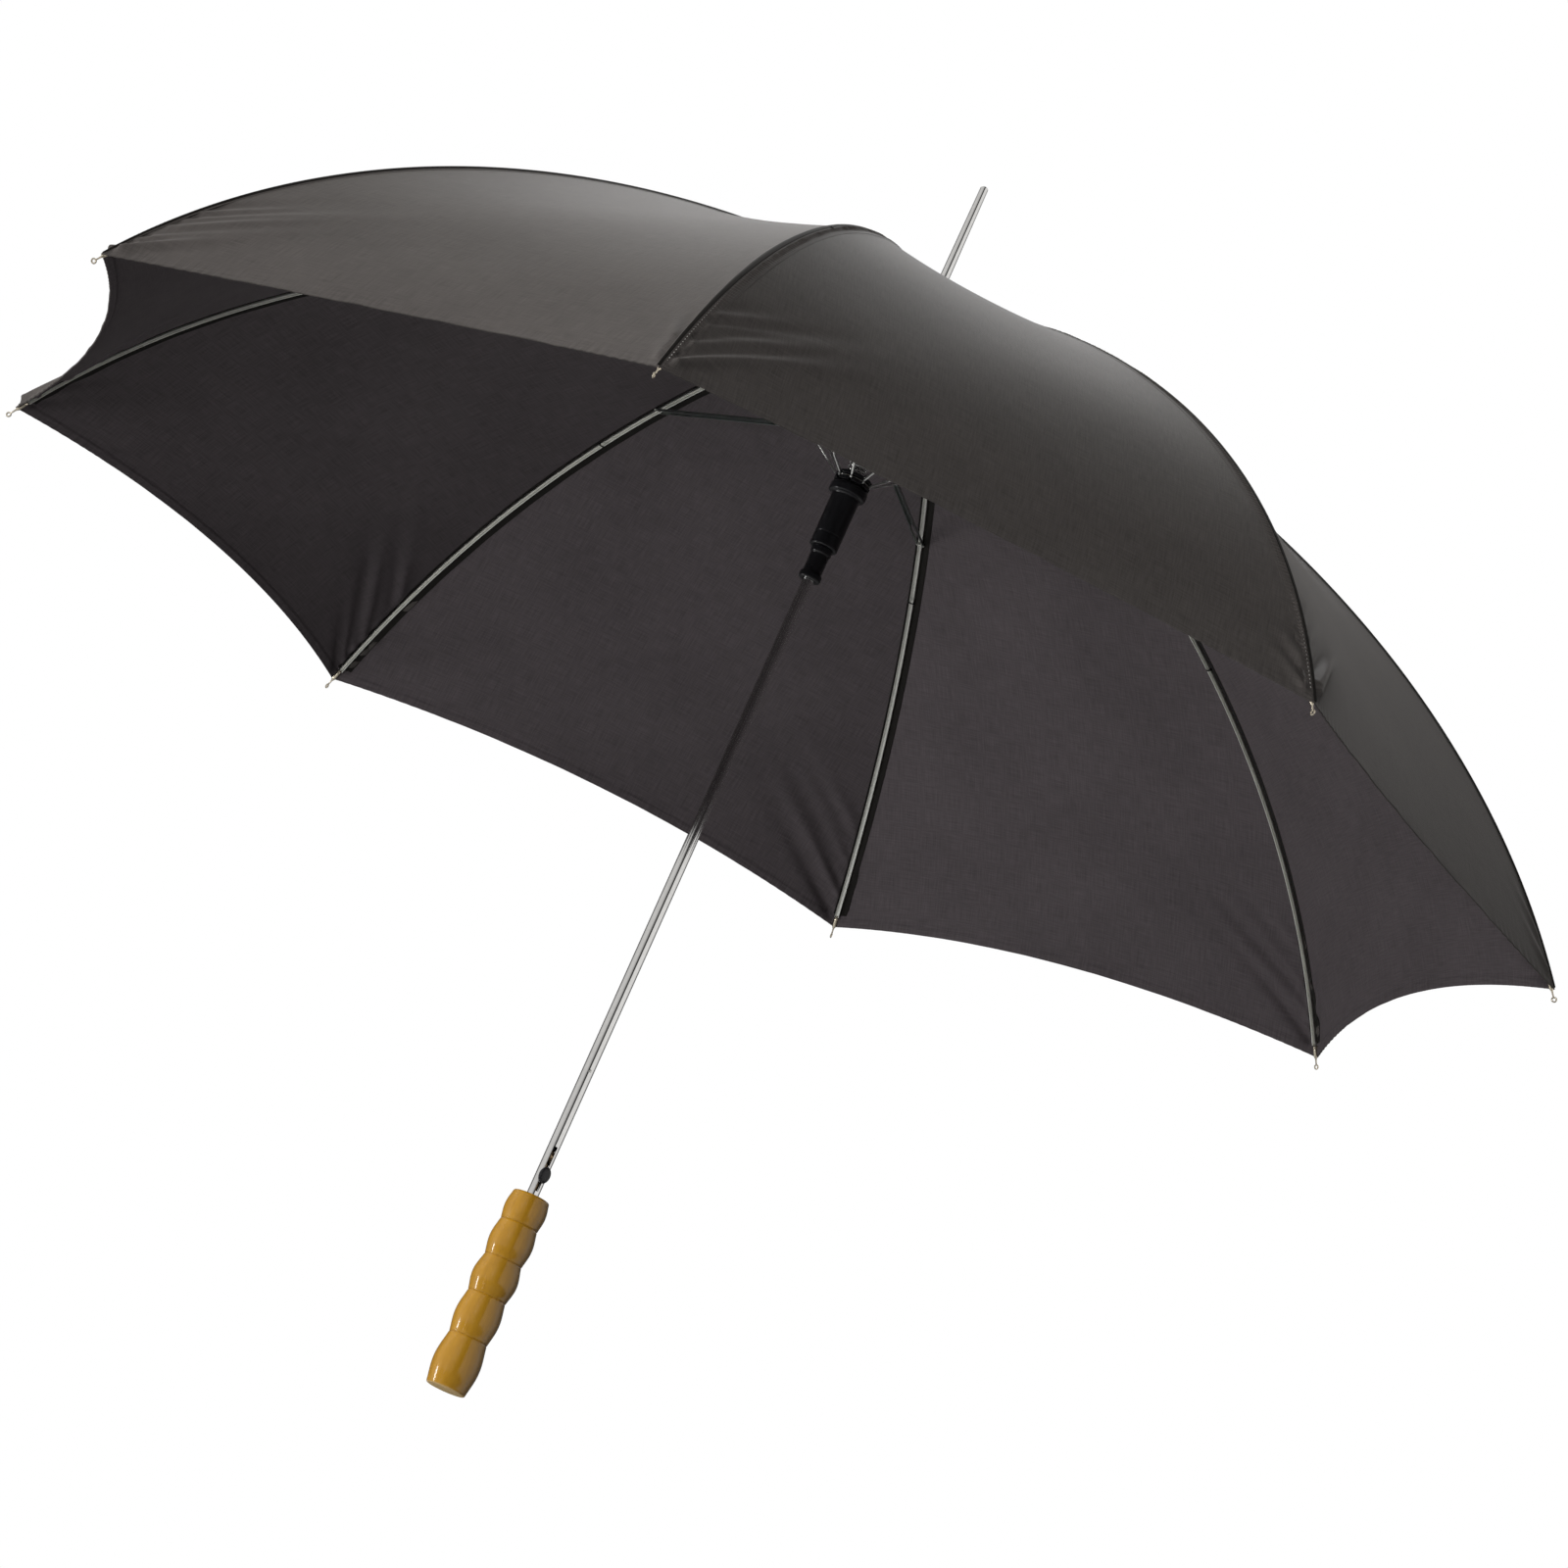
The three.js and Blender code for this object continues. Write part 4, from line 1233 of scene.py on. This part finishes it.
def make_strap(cloth, shiny):
    """Hemmed strap with a snap, sewn beside a seam on the far side of the canopy."""
    width, rows, columns = 18.0, 60, 12
    panel = 5
    grids = []
    share = np.linspace(0.66, 0.96, rows)
    for s in share:
        reach = float(ridge_line(curve_share(s))[0]) * math.sin(HALF_PANEL)
        for j in range(columns):
            across = 1 - (4 + width * j / (columns - 1)) * MM / reach
            edge = abs(2 * j / (columns - 1) - 1) ** 6
            base = panel_base(np.array(s), np.array(across))
            normal = panel_normal(np.array(s), np.array(across))
            bow = 0.5 * math.sin(9 * s) + 0.35 * edge
            grids.append((base + normal * (1.6 + bow) * MM, base + normal * (0.9 + bow - 0.3 * edge) * MM))
    points = [g[0] for g in grids] + [g[1] for g in grids]
    count = rows * columns
    faces = []
    for i in range(rows - 1):
        for j in range(columns - 1):
            quad = (i * columns + j, i * columns + j + 1, (i + 1) * columns + j + 1, (i + 1) * columns + j)
            faces += [quad, tuple(q + count for q in reversed(quad))]
    rim = [j for j in range(columns)] + [i * columns + columns - 1 for i in range(1, rows)]
    rim += [(rows - 1) * columns + j for j in range(columns - 2, -1, -1)]
    rim += [i * columns for i in range(rows - 2, 0, -1)]
    for a, b in zip(rim, rim[1:] + rim[:1]):
        faces.append((a, a + count, b + count, b))
    azimuth = rib_azimuth(panel) - HALF_PANEL
    piece = mesh_piece("tie_strap", turned_to(points, azimuth), faces, cloth, "rib_body_5")
    mark_sharp(piece, 50)
    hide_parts("closure_strap")

    s = 0.69
    reach = float(ridge_line(curve_share(s))[0]) * math.sin(HALF_PANEL)
    across = np.array(1 - 13 * MM / reach)
    base = panel_base(np.array(s), across)
    normal = Vector(panel_normal(np.array(s), across))
    turn = normal.to_track_quat("Z", "Y").to_matrix()
    profile = [(0.01, 3.9), (1.6, 3.85), (3.2, 3.5), (3.6, 2.9), (4.4, 2.7), (5.0, 2.2), (5.0, 1.9)]
    snap = []
    sides = 40
    for r, height in profile:
        for a in turns(sides):
            local = turn @ Vector((r * MM * math.cos(a), r * MM * math.sin(a), (height + 0.4) * MM))
            snap.append(tuple(Vector(base) + local))
    button = mesh_piece("strap_snap", turned_to(snap, azimuth), ring_faces(len(profile), sides), shiny,
                        "rib_body_5")
    mark_sharp(button, 40)
    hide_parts("strap_button")


# ---------------------------------------------------------------- the whole umbrella
def build():
    make_camera()
    make_studio()
    chrome = metal("chrome", (0.80, 0.80, 0.79), 0.05, dull=0.06)
    steel = metal("plated_steel", (0.80, 0.80, 0.76), 0.30)
    # Stretcher steel, darkened well below the ribs' steel: painted shade under the canopy.
    dark_steel = metal("dark_steel", (0.30, 0.33, 0.32), 0.34)
    nickel = metal("nickel", (0.78, 0.70, 0.56), 0.18)
    black = plastic("black_plastic", (0.006, 0.006, 0.007), 0.26)
    outside = woven_cloth("cloth_outside", (0.065, 0.0585, 0.055), 0.10, 0.55, 0.10)
    # Inside face of the same single cloth: a pinker tint, and brighter than the outside face as painted
    # light under the canopy.
    inside = woven_cloth("cloth_inside_painted_light", (0.080, 0.0685, 0.0735), 0.03, 0.72, 0.20)
    # Near-black copy of the canopy cloth for the seams' welts and allowances: painted shade beside the ribs.
    welt = woven_cloth("cloth_welt_painted_shade", (0.012, 0.011, 0.010), 0.03, 0.7, 0.10)
    satin = metal("satin_plate", (0.86, 0.86, 0.84), 0.30)
    thread = thread_material()
    for k in range(1, RIBS + 1):
        make_rib(k, steel)
        make_joint_pin(k, steel)
        make_rib_tip(k, nickel)
        make_stretcher(k, dark_steel)
        make_link(k, satin)
        make_thread_ties(k, thread)
    make_canopy(outside, inside)
    for k in range(1, RIBS + 1):
        make_seam(k, outside, welt)
        make_allowances(k, welt)
    make_cap(outside, chrome)
    make_shaft(chrome)
    make_handle(varnished_wood(), bare_wood())
    make_ferrule(chrome)
    make_runners(black)
    make_ring_wires(steel)
    make_spring(chrome)
    make_button(black)
    make_catch(metal("catch_steel", (0.36, 0.27, 0.17), 0.35))
    make_pin(steel)
    make_strap(outside, nickel)


build()
